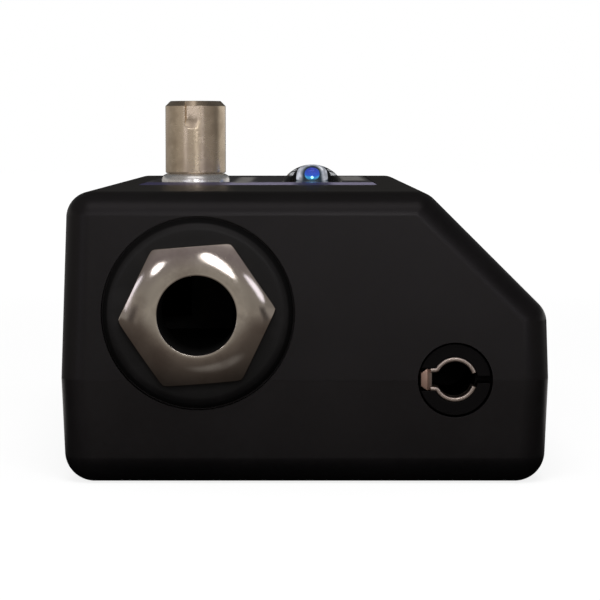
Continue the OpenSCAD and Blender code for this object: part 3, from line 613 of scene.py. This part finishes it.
# Control: turned shaft with its pointer notch, in a bright plated bush; lengths in mm
control = {
    "x": -10.80135,
    "y": 2.8,
    "radius": 3.0,
    "journal": 2.5,
    "foot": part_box("control_shaft")[0].z / mm,
    "head": 25.04,
    "top": 32.2,
    "chamfer": 0.5,
    "footRound": 0.12,
    "notchWide": 1.6,
    "notchHigh": 2.75,
    "notchDeep": 0.45,
    "notchSlant": 0.45,  # share of the depth, deeper on the left and shallower on the right
    "notchRamp": 1.0,
    "notchTurn": -3.0,  # degrees
    "notchColumns": 13,
    "columns": 168,
    "shaftSharp": 18,  # degrees
    "shaftEase": (0.06, 2, 30),  # width, segments, and degrees
    "bushRadius": 3.4,
    "bushBore": 2.53,
    "bushSpigot": 3.0,
    "bushTop": 25.0,
    "bushChamfer": (0.50, 0.78),
    "bushArc": (12, 52),  # degrees, the part of the edge that is round
    "bushSegments": 128,
    "bushEase": 0.05,
}


def makeShaft(setup):
    # Each row is a ring of one radius and height. The columns of the notch keep their distance from its
    # middle line and stop at its floor, y = -(radius - depth), deepest on its left; the others share out
    # the rest.
    half = setup["notchWide"] / 2
    inside = np.linspace(-half, half, setup["notchColumns"])
    share = np.linspace(0, 1, setup["columns"])
    runOut = setup["top"] - setup["notchHigh"]

    def ring(radius, z, scale=1.0):
        slant = setup["notchSlant"]
        deep = setup["notchDeep"] * (1 - slant - slant * inside / half)
        floor = setup["radius"] - deep * np.clip((z - runOut) / setup["notchRamp"], 0, 1)
        start = math.asin(half / radius)
        turn = start + share * (tau - 2 * start)
        x = np.concatenate([inside, radius * np.sin(turn)])
        y = np.concatenate([-np.minimum(np.sqrt(radius**2 - inside**2), floor), -radius * np.cos(turn)])
        return np.stack([x * scale, y * scale, np.full_like(x, z)], -1)

    body, journal, small, edge = setup["radius"], setup["journal"], setup["footRound"], setup["chamfer"]
    foot, head, top = setup["foot"], setup["head"], setup["top"]
    rows = [ring(journal, foot, scale) for scale in (0, 0.5, 1)]
    rows += [ring(journal, head), ring(body - small, head), ring(body, head + small)]
    rows += [ring(body, z) for z in np.linspace(head + 1, runOut - 0.4, 4)]
    rows += [ring(body, z) for z in runOut + setup["notchRamp"] * np.linspace(-0.2, 1, 10)]
    rows += [ring(body, top - edge - 0.5), ring(body, top - edge), ring(body - edge, top)]
    rows += [ring(body - edge, top, scale) for scale in (0.7, 0.35, 0)]
    points = np.array(rows)
    angle = math.radians(setup["notchTurn"])
    c, s = math.cos(angle), math.sin(angle)
    points[..., :2] = points[..., :2] @ np.array([[c, s], [-s, c]]) + (setup["x"], setup["y"])
    return putMesh("control_shaft_turned", points * mm, gridFaces(*points.shape[:2]), setup["shaftSharp"])


def makeBush(setup):
    # A stepped sleeve whose upper edge is part of an ellipse: r = radius - across (1 - cos t),
    # h = top - high (1 - sin t), and then a flat to the bore
    across, high = setup["bushChamfer"]
    radius, top = setup["bushRadius"], setup["bushTop"]
    bore, spigot = setup["bushBore"], setup["bushSpigot"]
    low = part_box("control_bush")[0].z / mm
    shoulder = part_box("control_cover")[1].z / mm
    turn = np.radians(np.linspace(*setup["bushArc"], 7))
    profile = [(bore, low), (spigot, low), (spigot, shoulder), (radius, shoulder)]
    profile += zip(radius - across * (1 - np.cos(turn)), top - high * (1 - np.sin(turn)))
    profile += [(radius - across, top), (bore, top)]
    return lathe("control_bush_plated", profile, (setup["x"], setup["y"], 0), setup["bushSegments"])


shaftLook = {
    "metal": (0.82, 0.685, 0.525),
    "dull": (0.62, 0.50, 0.37),
    "rough": 0.27,
    "rings": 0.10,  # mm
    "streak": 0.6,  # mm
    "stain": 1.8,  # mm
}


def turnedMetal(look):
    # Lathe-turned bar: rings along the axis, duller in patches
    def varying(at):
        z = split(at)[2]
        rings = noise(at.add("ShaderNodeCombineXYZ", {}, {"Z": z}), look["rings"], 4.0, 0.7)
        streak = noise(stretched(at, (1, 1, 0.05)), look["streak"], 3.0, 0.6)
        stain = step(noise(at, look["stain"], 4.0, 0.6), 0.42, 0.72)
        return {
            "Base Color": blend(stain * 0.6 + streak * 0.3, look["metal"], look["dull"]),
            "Roughness": look["rough"] + (rings - 0.5) * 0.10 + stain * 0.05,
            "Normal": bump(rings, 0.002, 0.25),
        }

    return newFinish("shaftTurned", varying, {"Metallic": 1.0})


bushLook = {
    "plate": (0.95, 0.94, 0.92),
    "tarnish": (0.74, 0.71, 0.69),
    "rough": 0.26,
    "metal": 0.9,
}

shaft = makeShaft(control)
place(shaft, "control", "control_shaft", "shaft_metal", turnedMetal(shaftLook))
easeEdges(shaft, *control["shaftEase"])
bush = makeBush(control)
controlAxis = (control["x"], control["y"], 0)
place(bush, "case", "control_bush", "bush_plated", nickelPlate("bushBright", bushLook, controlAxis))
easeEdges(bush, control["bushEase"])
print("control shaft and bush made")

# Pilot light: clear dome over a blue lamp, with a glowing heart and a bright chip inside; lengths in mm
pilot = {
    "x": 0.8019,
    "y": 2.8,
    "face": 24.2,  # top of the case
    "radius": 3.0,
    "rise": 1.7,
    "foot": 24.0,
    "stem": 2.25,
    "stemFoot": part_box("led_lens")[0].z / mm,
    "lamp": 1.5,
    "gap": 0.1,
    "lampDome": 23.9,
    "ball": 1.1,
    "ballMiddle": 24.3,
    "lampFoot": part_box("led_lamp")[0].z / mm,
    "flange": 1.9,
    "flangeHigh": 1.0,
    "core": (0.51, 0.53, 24.24),  # radius, half height and middle of the glowing heart
    "chip": (0.10, 0.11, 24.08),
    "chipAhead": 0.52,
    "paintedGleam": (0.62, -0.40, 0.68),  # where on the ball the painted highlight sits
    "lensSegments": 128,
    "lampSegments": 96,
    "glowSegments": 48,
    "glowGrain": 0.25,
}


def makeLens(setup):
    # A dome of radius (r^2 + rise^2) / (2 rise) on a stem, hollowed by a cylinder with a round end
    dome = (setup["radius"] ** 2 + setup["rise"] ** 2) / (2 * setup["rise"])
    top = setup["face"] + setup["rise"]
    low = math.degrees(math.asin((setup["face"] - top + dome) / dome))
    hollow = setup["lamp"] + setup["gap"]
    stem, stemFoot, foot = setup["stem"], setup["stemFoot"], setup["foot"]
    profile = arc(0, setup["lampDome"], hollow, 90, 0, 24)
    profile += [(hollow, stemFoot), (stem, stemFoot), (stem, foot), (setup["radius"], foot)]
    profile += arc(0, top - dome, dome, low, 90, 40)
    lens = lathe("pilot_lens", profile, (setup["x"], setup["y"], 0), setup["lensSegments"])
    # The wall of the hollow takes the second material
    middle = np.zeros(len(lens.data.polygons) * 3)
    lens.data.polygons.foreach_get("center", middle)
    x, y, z = middle.reshape(-1, 3).T / mm
    away = np.hypot(x - setup["x"], y - setup["y"])
    inside = np.hypot(away, np.maximum(z - setup["lampDome"], 0)) < hollow + 0.01
    lens.data.polygons.foreach_set("material_index", inside.astype(np.int32))
    return lens


def makeLamp(setup):
    # A flange under a cylinder with a round end
    foot, flange, ball = setup["lampFoot"], setup["flange"], setup["ball"]
    ledge = foot + setup["flangeHigh"]
    profile = [(0, foot), (flange, foot), (flange, ledge), (ball, ledge)]
    profile += arc(0, setup["ballMiddle"], ball, 0, 90, 32)
    return lathe("pilot_lamp", profile, (setup["x"], setup["y"], 0), setup["lampSegments"])


def makeEgg(name, setup, key, ahead=0.0):
    # A closed half ellipse carried round: r = radius cos(t), h = middle + half sin(t)
    radius, half, middle = setup[key]
    turn = np.radians(np.linspace(-90, 90, 25))
    profile = np.stack([np.maximum(radius * np.cos(turn), 0), middle + half * np.sin(turn)], -1)
    profile[[0, -1], 0] = 0
    return lathe(name, profile, (setup["x"], setup["y"] - ahead, 0), setup["glowSegments"])


lensLook = {
    "tint": (0.46, 0.47, 0.485, 1.0),
    "haze": (0.0, 0.0, 0.0, 1.0),
    "rough": 0.03,
    "cloud": 0.8,  # mm
    "smear": 2.0,  # mm
    "index": 1.49,
    "cover": 1.0,
}
wettedLook = lensLook | {"index": 1.0, "cover": 0.0}  # the wall of the hollow doesn't show
lampLook = lensLook | {
    "tint": (0.80, 0.88, 1.0, 1.0),
    "haze": (0.014, 0.022, 0.030, 1.0),
    "index": 1.04,
    # The rim's colours and glow paint a reflection on the lamp, and the gleam paints a highlight
    "rim": (0.62, 0.64, 0.70),
    "rimDim": (0.30, 0.31, 0.34),
    "rimFrom": (0.16, 0.42),  # how far the surface has turned away
    "rimGlow": 1.5,
    "rimLow": (23.75, 23.95),  # mm, below which there is no painted rim
    "rimCloud": 0.5,  # mm
    "gleamReach": (0.18, 0.42),  # mm
}
coreLook = {
    # share of the heart's height, and the glow there
    "glow": [
        (0.10, (0.01, 0.06, 0.09)),
        (0.30, (0.05, 0.34, 0.60)),
        (0.48, (0.02, 0.075, 0.45)),
        (1.0, (0.024, 0.028, 0.28)),
    ],
    "strength": 1.4,
}
chipLook = {"glow": [(0.0, (0.20, 0.75, 0.95)), (1.0, (0.55, 0.95, 1.0))], "strength": 2.7}


def clearPlastic(name, look, over=None):
    def varying(at):
        cloud = noise(at, look["cloud"], 4.0, 0.6)
        smear = step(noise(at, look["smear"], 4.0), 0.5, 0.8)
        return {
            "Roughness": look["rough"] + cloud * 0.02 + smear * 0.03,
            "Normal": bump(cloud, 0.002, 0.2),
        }

    fixed = {
        "Base Color": look["tint"],
        "Transmission Weight": 1.0,
        "IOR": look["index"],
        "Alpha": look["cover"],
        "Emission Color": look["haze"],
        "Emission Strength": 1.0,
    }
    return newFinish(name, varying, fixed, over)


def lampResin(look, setup):
    # Clear resin whose rim turns into a silvery gloss with a painted reflection glowing on it, and one
    # painted white highlight
    middle = np.array((setup["x"], setup["y"], setup["ballMiddle"]))
    spot = middle + setup["ball"] * np.array(setup["paintedGleam"])

    def paintedSilverRim(at, clear):
        # The rim's glow is a painted reflection, and the white spot a painted highlight
        cloud = noise(at, look["rimCloud"], 3.0)
        rim = blend(step(cloud, 0.35, 0.65), look["rimDim"], look["rim"])
        paintedGleam = 1 - step(distance(centred(at, spot)), *look["gleamReach"], mm)
        sockets = {
            "Base Color": rim,
            "Roughness": 0.12 + cloud * 0.12,
            "Metallic": 1.0,
            "Emission Color": blend(paintedGleam, rim, (1, 1, 1)),
            "Emission Strength": look["rimGlow"],
        }
        paintedSilver = at.add("ShaderNodeBsdfPrincipled", {}, sockets)
        facing = at.add("ShaderNodeLayerWeight", {}, {"Blend": 0.5}, "Facing")
        share = step(facing, *look["rimFrom"]) * step(split(at)[2], *look["rimLow"], mm)
        return at.add("ShaderNodeMixShader", {}, {0: share, 1: clear, 2: paintedSilver})

    return clearPlastic("lampResin", look, paintedSilverRim)


def glowing(name, look, egg):
    def varying(at):
        _, half, middle = egg
        height = (split(at)[2] - (middle - half) * mm) / (2 * half * mm)
        grain = noise(at, pilot["glowGrain"], 3.0)
        colour = ramp(height + (grain - 0.5) * 0.3, look["glow"])
        return {
            "Base Color": colour,
            "Roughness": 0.3 + grain * 0.2,
            "Emission Color": colour,
            "Normal": bump(grain, 0.004, 0.3),
        }

    return newFinish(name, varying, {"Emission Strength": look["strength"]})


lens = makeLens(pilot)
lensFinishes = clearPlastic("lensClear", lensLook), clearPlastic("lensWetted", wettedLook)
place(lens, "case", "led_lens", "clear_lens", *lensFinishes)
lamp = makeLamp(pilot)
place(lamp, "case", "led_lamp", "blue_lamp", lampResin(lampLook, pilot))
for name, key, ahead, look in (
    ("pilot_core", "core", 0.0, coreLook),
    ("pilot_chip", "chip", pilot["chipAhead"], chipLook),
):
    glow = makeEgg(name, pilot, key, ahead)
    glow.data.materials.append(glowing(name + "_glow", look, pilot[key]))
    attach(glow, "case")
print("pilot light made")

# Small socket: black barrel and the sprung copper clip with its folded tab; lengths in mm
socketLook = caseLook | {
    "colour": (0.0012, 0.0011, 0.0011),
    "paler": (0.0024, 0.0022, 0.0022),
    "edgeColour": (0.004, 0.0037, 0.0038),
    "rough": 0.50,
    "grain": 0.12,
    "grainDepth": 0.004,
    "shine": 0.12,
    "ease": 0.06,
}
clip = {
    "x": 12.4011,
    "z": 8.7,
    "front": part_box("charge_socket_clip")[0].y / mm,
    "low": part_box("charge_socket_clip")[0].z / mm,
    "ring": 1.675,  # middle of the strip
    "thick": 0.38,
    "deep": 2.0,
    "round": 0.11,
    "turns": (20, 150),  # degrees, where the ring starts and where it runs into its leg
    "bend": (0.12, 0.02),  # from the end of the arc to its leg, along and up
    "leg": (0.76, -2.0),  # height of the legs and where they end
    "tab": [
        # across, set back, half height
        (-2.85, 0.16, 0.55),
        (-2.80, 0.12, 0.60),
        (-2.36, 0.02, 0.90),
        (-2.30, 0.02, 0.92),
        (-1.92, 0.24, 0.90),
    ],
    "tabThick": 0.30,
    "tabRound": 0.1,
    "tail": (-2.70, 0.15, 0.60, 6.3),  # across, half thickness, half height and length
    "tailFrom": 0.3,
    "barRound": 0.05,
    "pin": (5.7, 6.3),
    "pinLap": 0.1,  # how far the pin reaches up into the tail
    "sharp": 25,  # degrees
}
clipLook = {
    "plate": (0.58, 0.50, 0.455),
    "copper": (0.62, 0.42, 0.34),
    "tarnish": (0.46, 0.32, 0.26),
    "copperAt": (-2.25, -1.95),  # across, where the plating ends
    "rough": 0.30,
    "stain": 0.5,
    "brushed": 0.9,
}


def makeClip(setup):
    # The strip is a rounded section carried along an arc and its straight leg, once above and once below;
    # the tab is a rounded section whose height and depth follow a list; the tail and pin are straight bars.
    centre = np.array((setup["x"], setup["front"], setup["z"]))
    turn = np.radians(np.linspace(*setup["turns"], 40))
    curve = setup["ring"] * np.stack([np.cos(turn), np.sin(turn)], -1)
    height, end = setup["leg"]
    lead, lift = setup["bend"]
    path = np.concatenate([curve, [(curve[-1, 0] - lead, height + lift), (end, height)]])
    ahead = np.gradient(path, axis=0)
    ahead /= np.linalg.norm(ahead, axis=1, keepdims=True)
    side = np.stack([ahead[:, 1], -ahead[:, 0]], -1)
    section = roundedLoop(setup["thick"] / 2, setup["deep"] / 2, setup["round"])
    flat = path[:, None] + side[:, None] * section[None, :, :1]
    depth = np.broadcast_to(section[None, :, 1] + setup["deep"] / 2, flat.shape[:2])
    parts = [loft(centre + np.stack([flat[..., 0], depth, flip * flat[..., 1]], -1)) for flip in (1, -1)]
    rows = []
    tabHalf = setup["tabThick"] / 2
    for x, back, half in setup["tab"]:
        loop = roundedLoop(half, tabHalf, setup["tabRound"])
        rows.append(np.stack([np.full(len(loop), x), back + tabHalf + loop[:, 1], loop[:, 0]], -1))
    parts.append(loft(centre + np.array(rows)))
    x, thick, half, length = setup["tail"]
    loop = roundedLoop(thick, half, setup["barRound"])
    start = setup["tailFrom"]
    bar = np.stack([x + loop[:, 0], np.full(len(loop), start), loop[:, 1]], -1)
    parts.append(loft(centre + np.stack([bar, bar + (0, length - start, 0)])))
    near, far = setup["pin"]
    loop = roundedLoop(thick, (far - near) / 2, setup["barRound"])
    top = np.full(len(loop), setup["pinLap"] - half)
    bar = np.stack([x + loop[:, 0], (near + far) / 2 + loop[:, 1], top], -1)
    low = bar.copy()
    low[:, 2] = setup["low"] - setup["z"]
    parts.append(loft(centre + np.stack([bar, low])))
    points, faces = joined(parts)
    return putMesh("socket_clip", points * mm, faces, setup["sharp"])


def sprungStrip(look, setup):
    # Plated strip whose plating has worn off the folded tab down to the copper
    def varying(at):
        x = split(centred(at, (setup["x"], 0, 0)))[0]
        stain = step(noise(at, look["stain"], 4.0, 0.6), 0.42, 0.70)
        brushed = noise(stretched(at, (9, 1, 9)), look["brushed"], 3.0, 0.6)
        worn = 1 - step(x + (stain - 0.5) * 0.1 * mm, *look["copperAt"], mm)
        colour = blend(worn, look["plate"], look["copper"])
        return {
            "Base Color": blend(stain * 0.35 + (brushed - 0.4) * 0.2, colour, look["tarnish"]),
            "Roughness": look["rough"] + stain * 0.10 + (brushed - 0.5) * 0.10 + worn * 0.10,
            "Normal": bump(brushed, 0.002, 0.15),
        }

    return newFinish("clipStrip", varying, {"Metallic": 1.0})


barrel = skin("socket_barrel", "charge_socket_body")
place(barrel, "case", "charge_socket_body", "socket_moulding", *plasticPair("socket", socketLook))
easeEdges(barrel, socketLook["ease"])
place(makeClip(clip), "case", "charge_socket_clip", "clip_copper", sprungStrip(clipLook, clip))
print("small socket made")

# Case screws from below
screwLook = {
    "plate": (0.035, 0.034, 0.036),
    "tarnish": (0.12, 0.115, 0.11),
    "rough": 0.38,
    "metal": 1.0,
    "ease": 0.06,  # mm
}
screws = skin("case_screw_set", "case_screws")
place(screws, "case", "case_screws", "black_screw", nickelPlate("screwBlack", screwLook, (0, 0, 0)))
easeEdges(screws, screwLook["ease"])
print("case screws made")

# Pieces inside the case keep their solids, and each gets its own finish:
# colour, second colour, metal, roughness, and the size of its patches in mm
tinned = ((0.62, 0.61, 0.58), (0.44, 0.43, 0.40), 1, 0.35, 0.5)
boardGreen = ((0.010, 0.085, 0.030), (0.016, 0.120, 0.045), 0, 0.35, 1.4)
innerLooks = {
    "input_jack_body": ((0.0035, 0.0034, 0.0034), (0.006, 0.0058, 0.0058), 0, 0.6, 0.3),
    # The jack's three springs are darkened brass: painted shade deep in the bore
    "input_jack_tip_spring": ((0.060, 0.046, 0.032), (0.030, 0.023, 0.016), 1, 0.5, 0.8),
    "input_jack_switch_spring": ((0.058, 0.045, 0.032), (0.029, 0.022, 0.016), 1, 0.5, 0.8),
    "input_jack_sleeve_spring": ((0.060, 0.047, 0.033), (0.030, 0.023, 0.017), 1, 0.5, 0.8),
    "charge_socket_tip_spring": ((0.60, 0.42, 0.23), (0.40, 0.27, 0.14), 1, 0.3, 0.6),
    "control_cover": ((0.62, 0.61, 0.58), (0.45, 0.44, 0.41), 1, 0.35, 1.0),
    "control_base": ((0.16, 0.075, 0.03), (0.11, 0.05, 0.02), 0, 0.55, 0.6),
    "control_track": ((0.010, 0.010, 0.010), (0.022, 0.022, 0.022), 0, 0.6, 0.2),
    "control_rotor": ((0.55, 0.52, 0.42), (0.45, 0.42, 0.33), 0, 0.5, 0.8),
    "control_wiper": ((0.66, 0.48, 0.20), (0.48, 0.33, 0.14), 1, 0.3, 0.6),
    "control_terminals": tinned,
    "led_leads": tinned,
    "control_board": boardGreen,
    "control_board_screws": ((0.52, 0.51, 0.50), (0.36, 0.35, 0.34), 1, 0.35, 0.6),
    "link_header_block": ((0.012, 0.012, 0.012), (0.020, 0.020, 0.020), 0, 0.5, 0.4),
    "link_header_pins": ((0.75, 0.55, 0.22), (0.58, 0.40, 0.15), 1, 0.28, 0.4),
    "main_board": boardGreen,
    "radio_shield": ((0.60, 0.59, 0.57), (0.44, 0.43, 0.41), 1, 0.32, 1.2),
    "antenna": ((0.60, 0.59, 0.56), (0.43, 0.42, 0.39), 1, 0.34, 0.8),
    "board_chips": ((0.012, 0.012, 0.013), (0.022, 0.022, 0.022), 0, 0.55, 0.3),
    "board_capacitors": ((0.030, 0.032, 0.060), (0.045, 0.048, 0.085), 0, 0.4, 0.6),
    "battery_cell": ((0.50, 0.51, 0.53), (0.36, 0.37, 0.39), 1, 0.38, 2.2),
    "battery_pad": ((0.030, 0.030, 0.032), (0.055, 0.055, 0.058), 0, 0.9, 0.35),
    "battery_socket": ((0.62, 0.58, 0.46), (0.52, 0.48, 0.37), 0, 0.45, 0.7),
    "battery_plug": ((0.64, 0.60, 0.48), (0.53, 0.49, 0.38), 0, 0.45, 0.7),
    "battery_leads": ((0.30, 0.018, 0.014), (0.22, 0.012, 0.010), 0, 0.45, 0.5),
}


def innerFinish(name, first, second, metal, rough, spot):
    def varying(at):
        patch = step(noise(at, spot * 2, 4.0, 0.6), 0.35, 0.7)
        grain = noise(at, spot * 0.25, 3.0, 0.6)
        return {
            "Base Color": blend(patch * 0.7 + grain * 0.3, first, second),
            "Roughness": rough + (patch - 0.5) * 0.12 + (grain - 0.5) * 0.10,
            "Normal": bump(grain, 0.005, 0.35),
        }

    return newFinish(name, varying, {"Metallic": float(metal)})


for node, values in innerLooks.items():
    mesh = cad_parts[node].data
    mesh.materials.clear()
    mesh.materials.append(innerFinish(node + "_finish", *values))
print("inner pieces finished")

# Studio: pale floor, white surroundings, soft lamps, and a dark drape round the table that only shows in
# reflections. Tones are placed by distance and height over the drape's radius, or by bearing in degrees.
studio = {
    "floorHalf": 1.5,  # m
    "floorLines": 9,
    "floorDrop": 0.02,  # mm below the base
    "floorColour": (0.22, 0.22, 0.22, 1.0),
    "floorGlow": (0.84, 0.97),  # near the object and far from it
    "glowReach": (0.06, 0.45),  # m
    "skyPlain": 0.35,
    "drapeRadius": 0.75,  # m
    "drapeSegments": 64,
    "drapeFront": [
        # height, and the tone there
        (0.00, (0.33, 0.31, 0.28)),
        (0.10, (0.36, 0.34, 0.31)),
        (0.25, (0.33, 0.305, 0.295)),
        (0.42, (0.30, 0.270, 0.280)),
        (0.58, (0.40, 0.37, 0.375)),
        (0.70, (1.00, 0.96, 0.95)),
        (0.87, (1.00, 0.96, 0.95)),
        (0.95, (0.20, 0.19, 0.19)),
    ],
    "drapeTop": (0.14, 0.135, 0.13),
    "drapeSide": ((0.20, 0.185, 0.175), (0.10, 0.095, 0.095)),  # left and right
    "drapeSideLow": ((0.54, 0.51, 0.47), (0.28, 0.265, 0.25)),  # the same near the table
    "drapeBack": [
        (0.00, (0.90, 0.88, 0.85)),
        (0.15, (0.75, 0.73, 0.70)),
        (0.30, (0.12, 0.12, 0.12)),
        (1.00, (0.06, 0.06, 0.06)),
    ],
    "drapeBackLeft": (0.40, 0.38, 0.36),
    "drapeBehind": (0.05, 0.048, 0.045),
    "drapeHalves": (-0.05, 0.05),  # where left turns into right
    "sideLowTo": (0.08, 0.22),
    "sideFrom": (24, 42),  # bearing, 0 ahead and 180 behind
    "backFrom": (92, 112),
    "backLeftTo": (0.15, 0.30),
    "behindFrom": (154, 164),
    "topFrom": (0.90, 0.97),
    "hem": (0.001, 0.03),  # height at which the table turns into the drape
    "tableFront": [
        # distance in front, and the tone there
        # painted shadow: the object's shade on the table close in front
        (0.055, (0.004, 0.004, 0.004)),
        (0.085, (0.080, 0.068, 0.060)),
        (0.16, (0.145, 0.125, 0.110)),
        (0.27, (0.33, 0.31, 0.28)),
        (0.36, (0.41, 0.385, 0.345)),
        (0.50, (0.33, 0.31, 0.28)),
    ],
    "tableFlank": [
        # bearing from the jack over 90 degrees, and the tone there
        (0.268, (0.37, 0.345, 0.315)),
        (0.303, (0.10, 0.09, 0.085)),
        (0.345, (0.10, 0.09, 0.085)),
        (0.385, (0.38, 0.36, 0.34)),
    ],
    "flankFrom": (0.24, 0.26),
    "flankAhead": (0.16, 0.20),
    "tableBack": ((0.22, 0.215, 0.21), (0.016, 0.015, 0.014)),  # left and right
    "tableHalves": (-0.02, 0.02),
    "tableBackFrom": (0.02, 0.20),
    "tableNear": (0.85, 0.82, 0.80),  # close beside and behind the object
    "nearRing": (0.03, 0.05, 0.07, 0.10),
    "nearRear": 0.027,  # how much further back the ring lies than to the sides
    "nearFrom": (-0.04, 0.0),
    "nearGap": (0.018, 0.026, 0.036, 0.046),  # a strip along each side that stays dark
    "sheen": ((-3.9, -69.5, 0), (0.003, 0.010), (0.21, 0.20, 0.19)),  # middle in mm, reach in m, tone
    "lamps": {
        # place and aim in mm, width and height in mm, roll in degrees, watts, tone, seen in reflections
        "lampRight": ((21, -356, 108), (-7, -42, 18), (52, 112), 22, 0.075, (1, 1, 1), True),
        "lampLeft": ((-122, -336, 110), (-12, -42, 18), (36, 46), 0, 0.024, (0.97, 0.97, 1), True),
        "windowRight": ((145, -329, 65), (-4, -42, 16), (34, 110), 51, 0.017, (0.84, 0.85, 1), True),
        "windowLeft": ((-213, -297, 56), (-13, -42, 16), (30, 128), -38, 0.017, (0.84, 0.85, 1), True),
        "lampFill": ((0, -300, 420), (0, 0, 10), (300, 300), 0, 1.4, (1, 1, 1), False),
    },
}


def rays(tree):
    # 1 for the camera, for reflections and for what is seen through clear plastic
    kinds = ("Is Camera Ray", "Is Glossy Ray", "Is Transmission Ray")
    flags = [Wire(tree).add("ShaderNodeLightPath", out=kind) for kind in kinds]
    return flags[0].larger(flags[1]).larger(flags[2])


def makeFloor(setup):
    # A flat grid: x and y run over the floor, z is constant
    lines = setup["floorLines"]
    steps = np.linspace(-setup["floorHalf"], setup["floorHalf"], lines)
    across, along = np.meshgrid(steps, steps, indexing="ij")
    low = np.full_like(across, -setup["floorDrop"] * mm)
    points = np.stack([across, along, low], -1).reshape(-1, 3)
    row, col = np.meshgrid(np.arange(lines - 1), np.arange(lines - 1), indexing="ij")
    first = row * lines + col
    faces = np.stack([first, first + lines, first + lines + 1, first + 1], -1).reshape(-1, 4)
    mesh = bpy.data.meshes.new("studioFloor")
    mesh.from_pydata(points.tolist(), [], faces.tolist())
    floor = bpy.data.objects.new("studioFloor", mesh)
    scene.collection.objects.link(floor)
    material, at = emptyMaterial("floorPale")
    near, away = setup["floorGlow"]
    level = rays(at.tree) * (near + step(distance(at), *setup["glowReach"]) * (away - near))
    matt = at.add("ShaderNodeBsdfDiffuse", {}, {"Color": setup["floorColour"]})
    glow = at.add("ShaderNodeEmission", {}, {"Strength": level})
    both = at.add("ShaderNodeAddShader", {}, {0: matt, 1: glow})
    at.add("ShaderNodeOutputMaterial", {}, {"Surface": both})
    mesh.materials.append(material)


def drapeTone(setup, across, along, height):
    # Tones of the upright cloth by bearing and by height
    bearing = across.maths("ARCTAN2", abs(across), -1 * along) * math.degrees(1)
    front, back = (ramp(height, setup[key]) for key in ("drapeFront", "drapeBack"))
    right = step(across, *setup["drapeHalves"])
    lowLeft = (1 - right) * (1 - step(height, *setup["backLeftTo"]))
    back = blend(lowLeft, back, setup["drapeBackLeft"])
    side, sideLow = (blend(right, *setup[key]) for key in ("drapeSide", "drapeSideLow"))
    side = blend(step(height, *setup["sideLowTo"]), sideLow, side)
    tone = blend(step(bearing, *setup["sideFrom"]), front, side)
    tone = blend(step(bearing, *setup["backFrom"]), tone, back)
    tone = blend(step(bearing, *setup["behindFrom"]), tone, setup["drapeBehind"])
    return blend(step(height, *setup["topFrom"]), tone, setup["drapeTop"])


def tableTone(setup, at, across, along):
    # Tones of the cloth on the table: by distance in front, by bearing from the jack to each side of it,
    # with a sheen in front, left and right behind, and a pale ring close to the object. The near black tone
    # close in front is the object's painted shadow on the table.
    ahead = -1 * along
    aside = abs(across - jack["x"] * mm / setup["drapeRadius"])
    bearing = aside.maths("ARCTAN2", aside, ahead) / math.radians(90)
    flank = step(bearing, *setup["flankFrom"]) * step(ahead, *setup["flankAhead"])
    table = blend(flank, ramp(ahead, setup["tableFront"]), ramp(bearing, setup["tableFlank"]))
    spot, reach, sheen = setup["sheen"]
    table = blend(1 - step(distance(centred(at, spot)), *reach), table, sheen)
    behind = blend(step(across, *setup["tableHalves"]), *setup["tableBack"])
    table = blend(step(along, *setup["tableBackFrom"]), table, behind)
    beside = abs(across)
    ring = between(beside.larger(along - setup["nearRear"]), setup["nearRing"], 1)
    ring = ring * step(along, *setup["nearFrom"]) * (1 - between(beside, setup["nearGap"], 1))
    return blend(ring, table, setup["tableNear"])


def makeDrape(setup):
    # A cloth on the table that turns up into a dome: a flat disc, then a quarter circle, carried round
    radius = setup["drapeRadius"] / mm
    low = -setup["floorDrop"] / 2
    profile = [(0, low), (radius * 0.5, low)] + arc(0, low, radius, 0, 90, 24)
    drape = lathe("studioDrape", profile, (0, 0, 0), setup["drapeSegments"])
    material, at = emptyMaterial("drapeDark")
    across, along, height = (part / setup["drapeRadius"] for part in split(at))
    table = tableTone(setup, at, across, along)
    tone = blend(step(height, *setup["hem"]), table, drapeTone(setup, across, along, height))
    glow = at.add("ShaderNodeEmission", {}, {"Color": tone})
    at.add("ShaderNodeOutputMaterial", {}, {"Surface": glow})
    drape.data.materials.append(material)
    for kind in ("camera", "diffuse", "shadow", "transmission"):
        setattr(drape, "visible_" + kind, False)


def makeSky(setup):
    world = bpy.data.worlds.new("studioSky")
    world.use_nodes = True
    scene.world = world
    tree = world.node_tree
    tree.nodes.clear()
    plain = setup["skyPlain"]
    level = rays(tree) * (1 - plain) + plain
    sky = level.add("ShaderNodeBackground", {}, {"Color": (1, 1, 1, 1), "Strength": level})
    level.add("ShaderNodeOutputWorld", {}, {"Surface": sky})


def makeLamps(setup):
    for name, (spot, aim, size, roll, watts, tone, shows) in setup["lamps"].items():
        data = bpy.data.lights.new(name, "AREA")
        data.shape = "ELLIPSE"
        data.size, data.size_y = (value * mm for value in size)
        data.energy = watts
        data.color = tone
        softbox = bpy.data.objects.new(name, data)
        softbox.location = Vector(spot) * mm
        aimed = (Vector(aim) - Vector(spot)).to_track_quat("-Z", "Y")
        turn = aimed @ Quaternion((0, 0, 1), math.radians(roll))
        softbox.rotation_euler = turn.to_euler()
        softbox.visible_glossy = shows
        scene.collection.objects.link(softbox)


makeFloor(studio)
makeDrape(studio)
makeSky(studio)
makeLamps(studio)
print("studio ready")
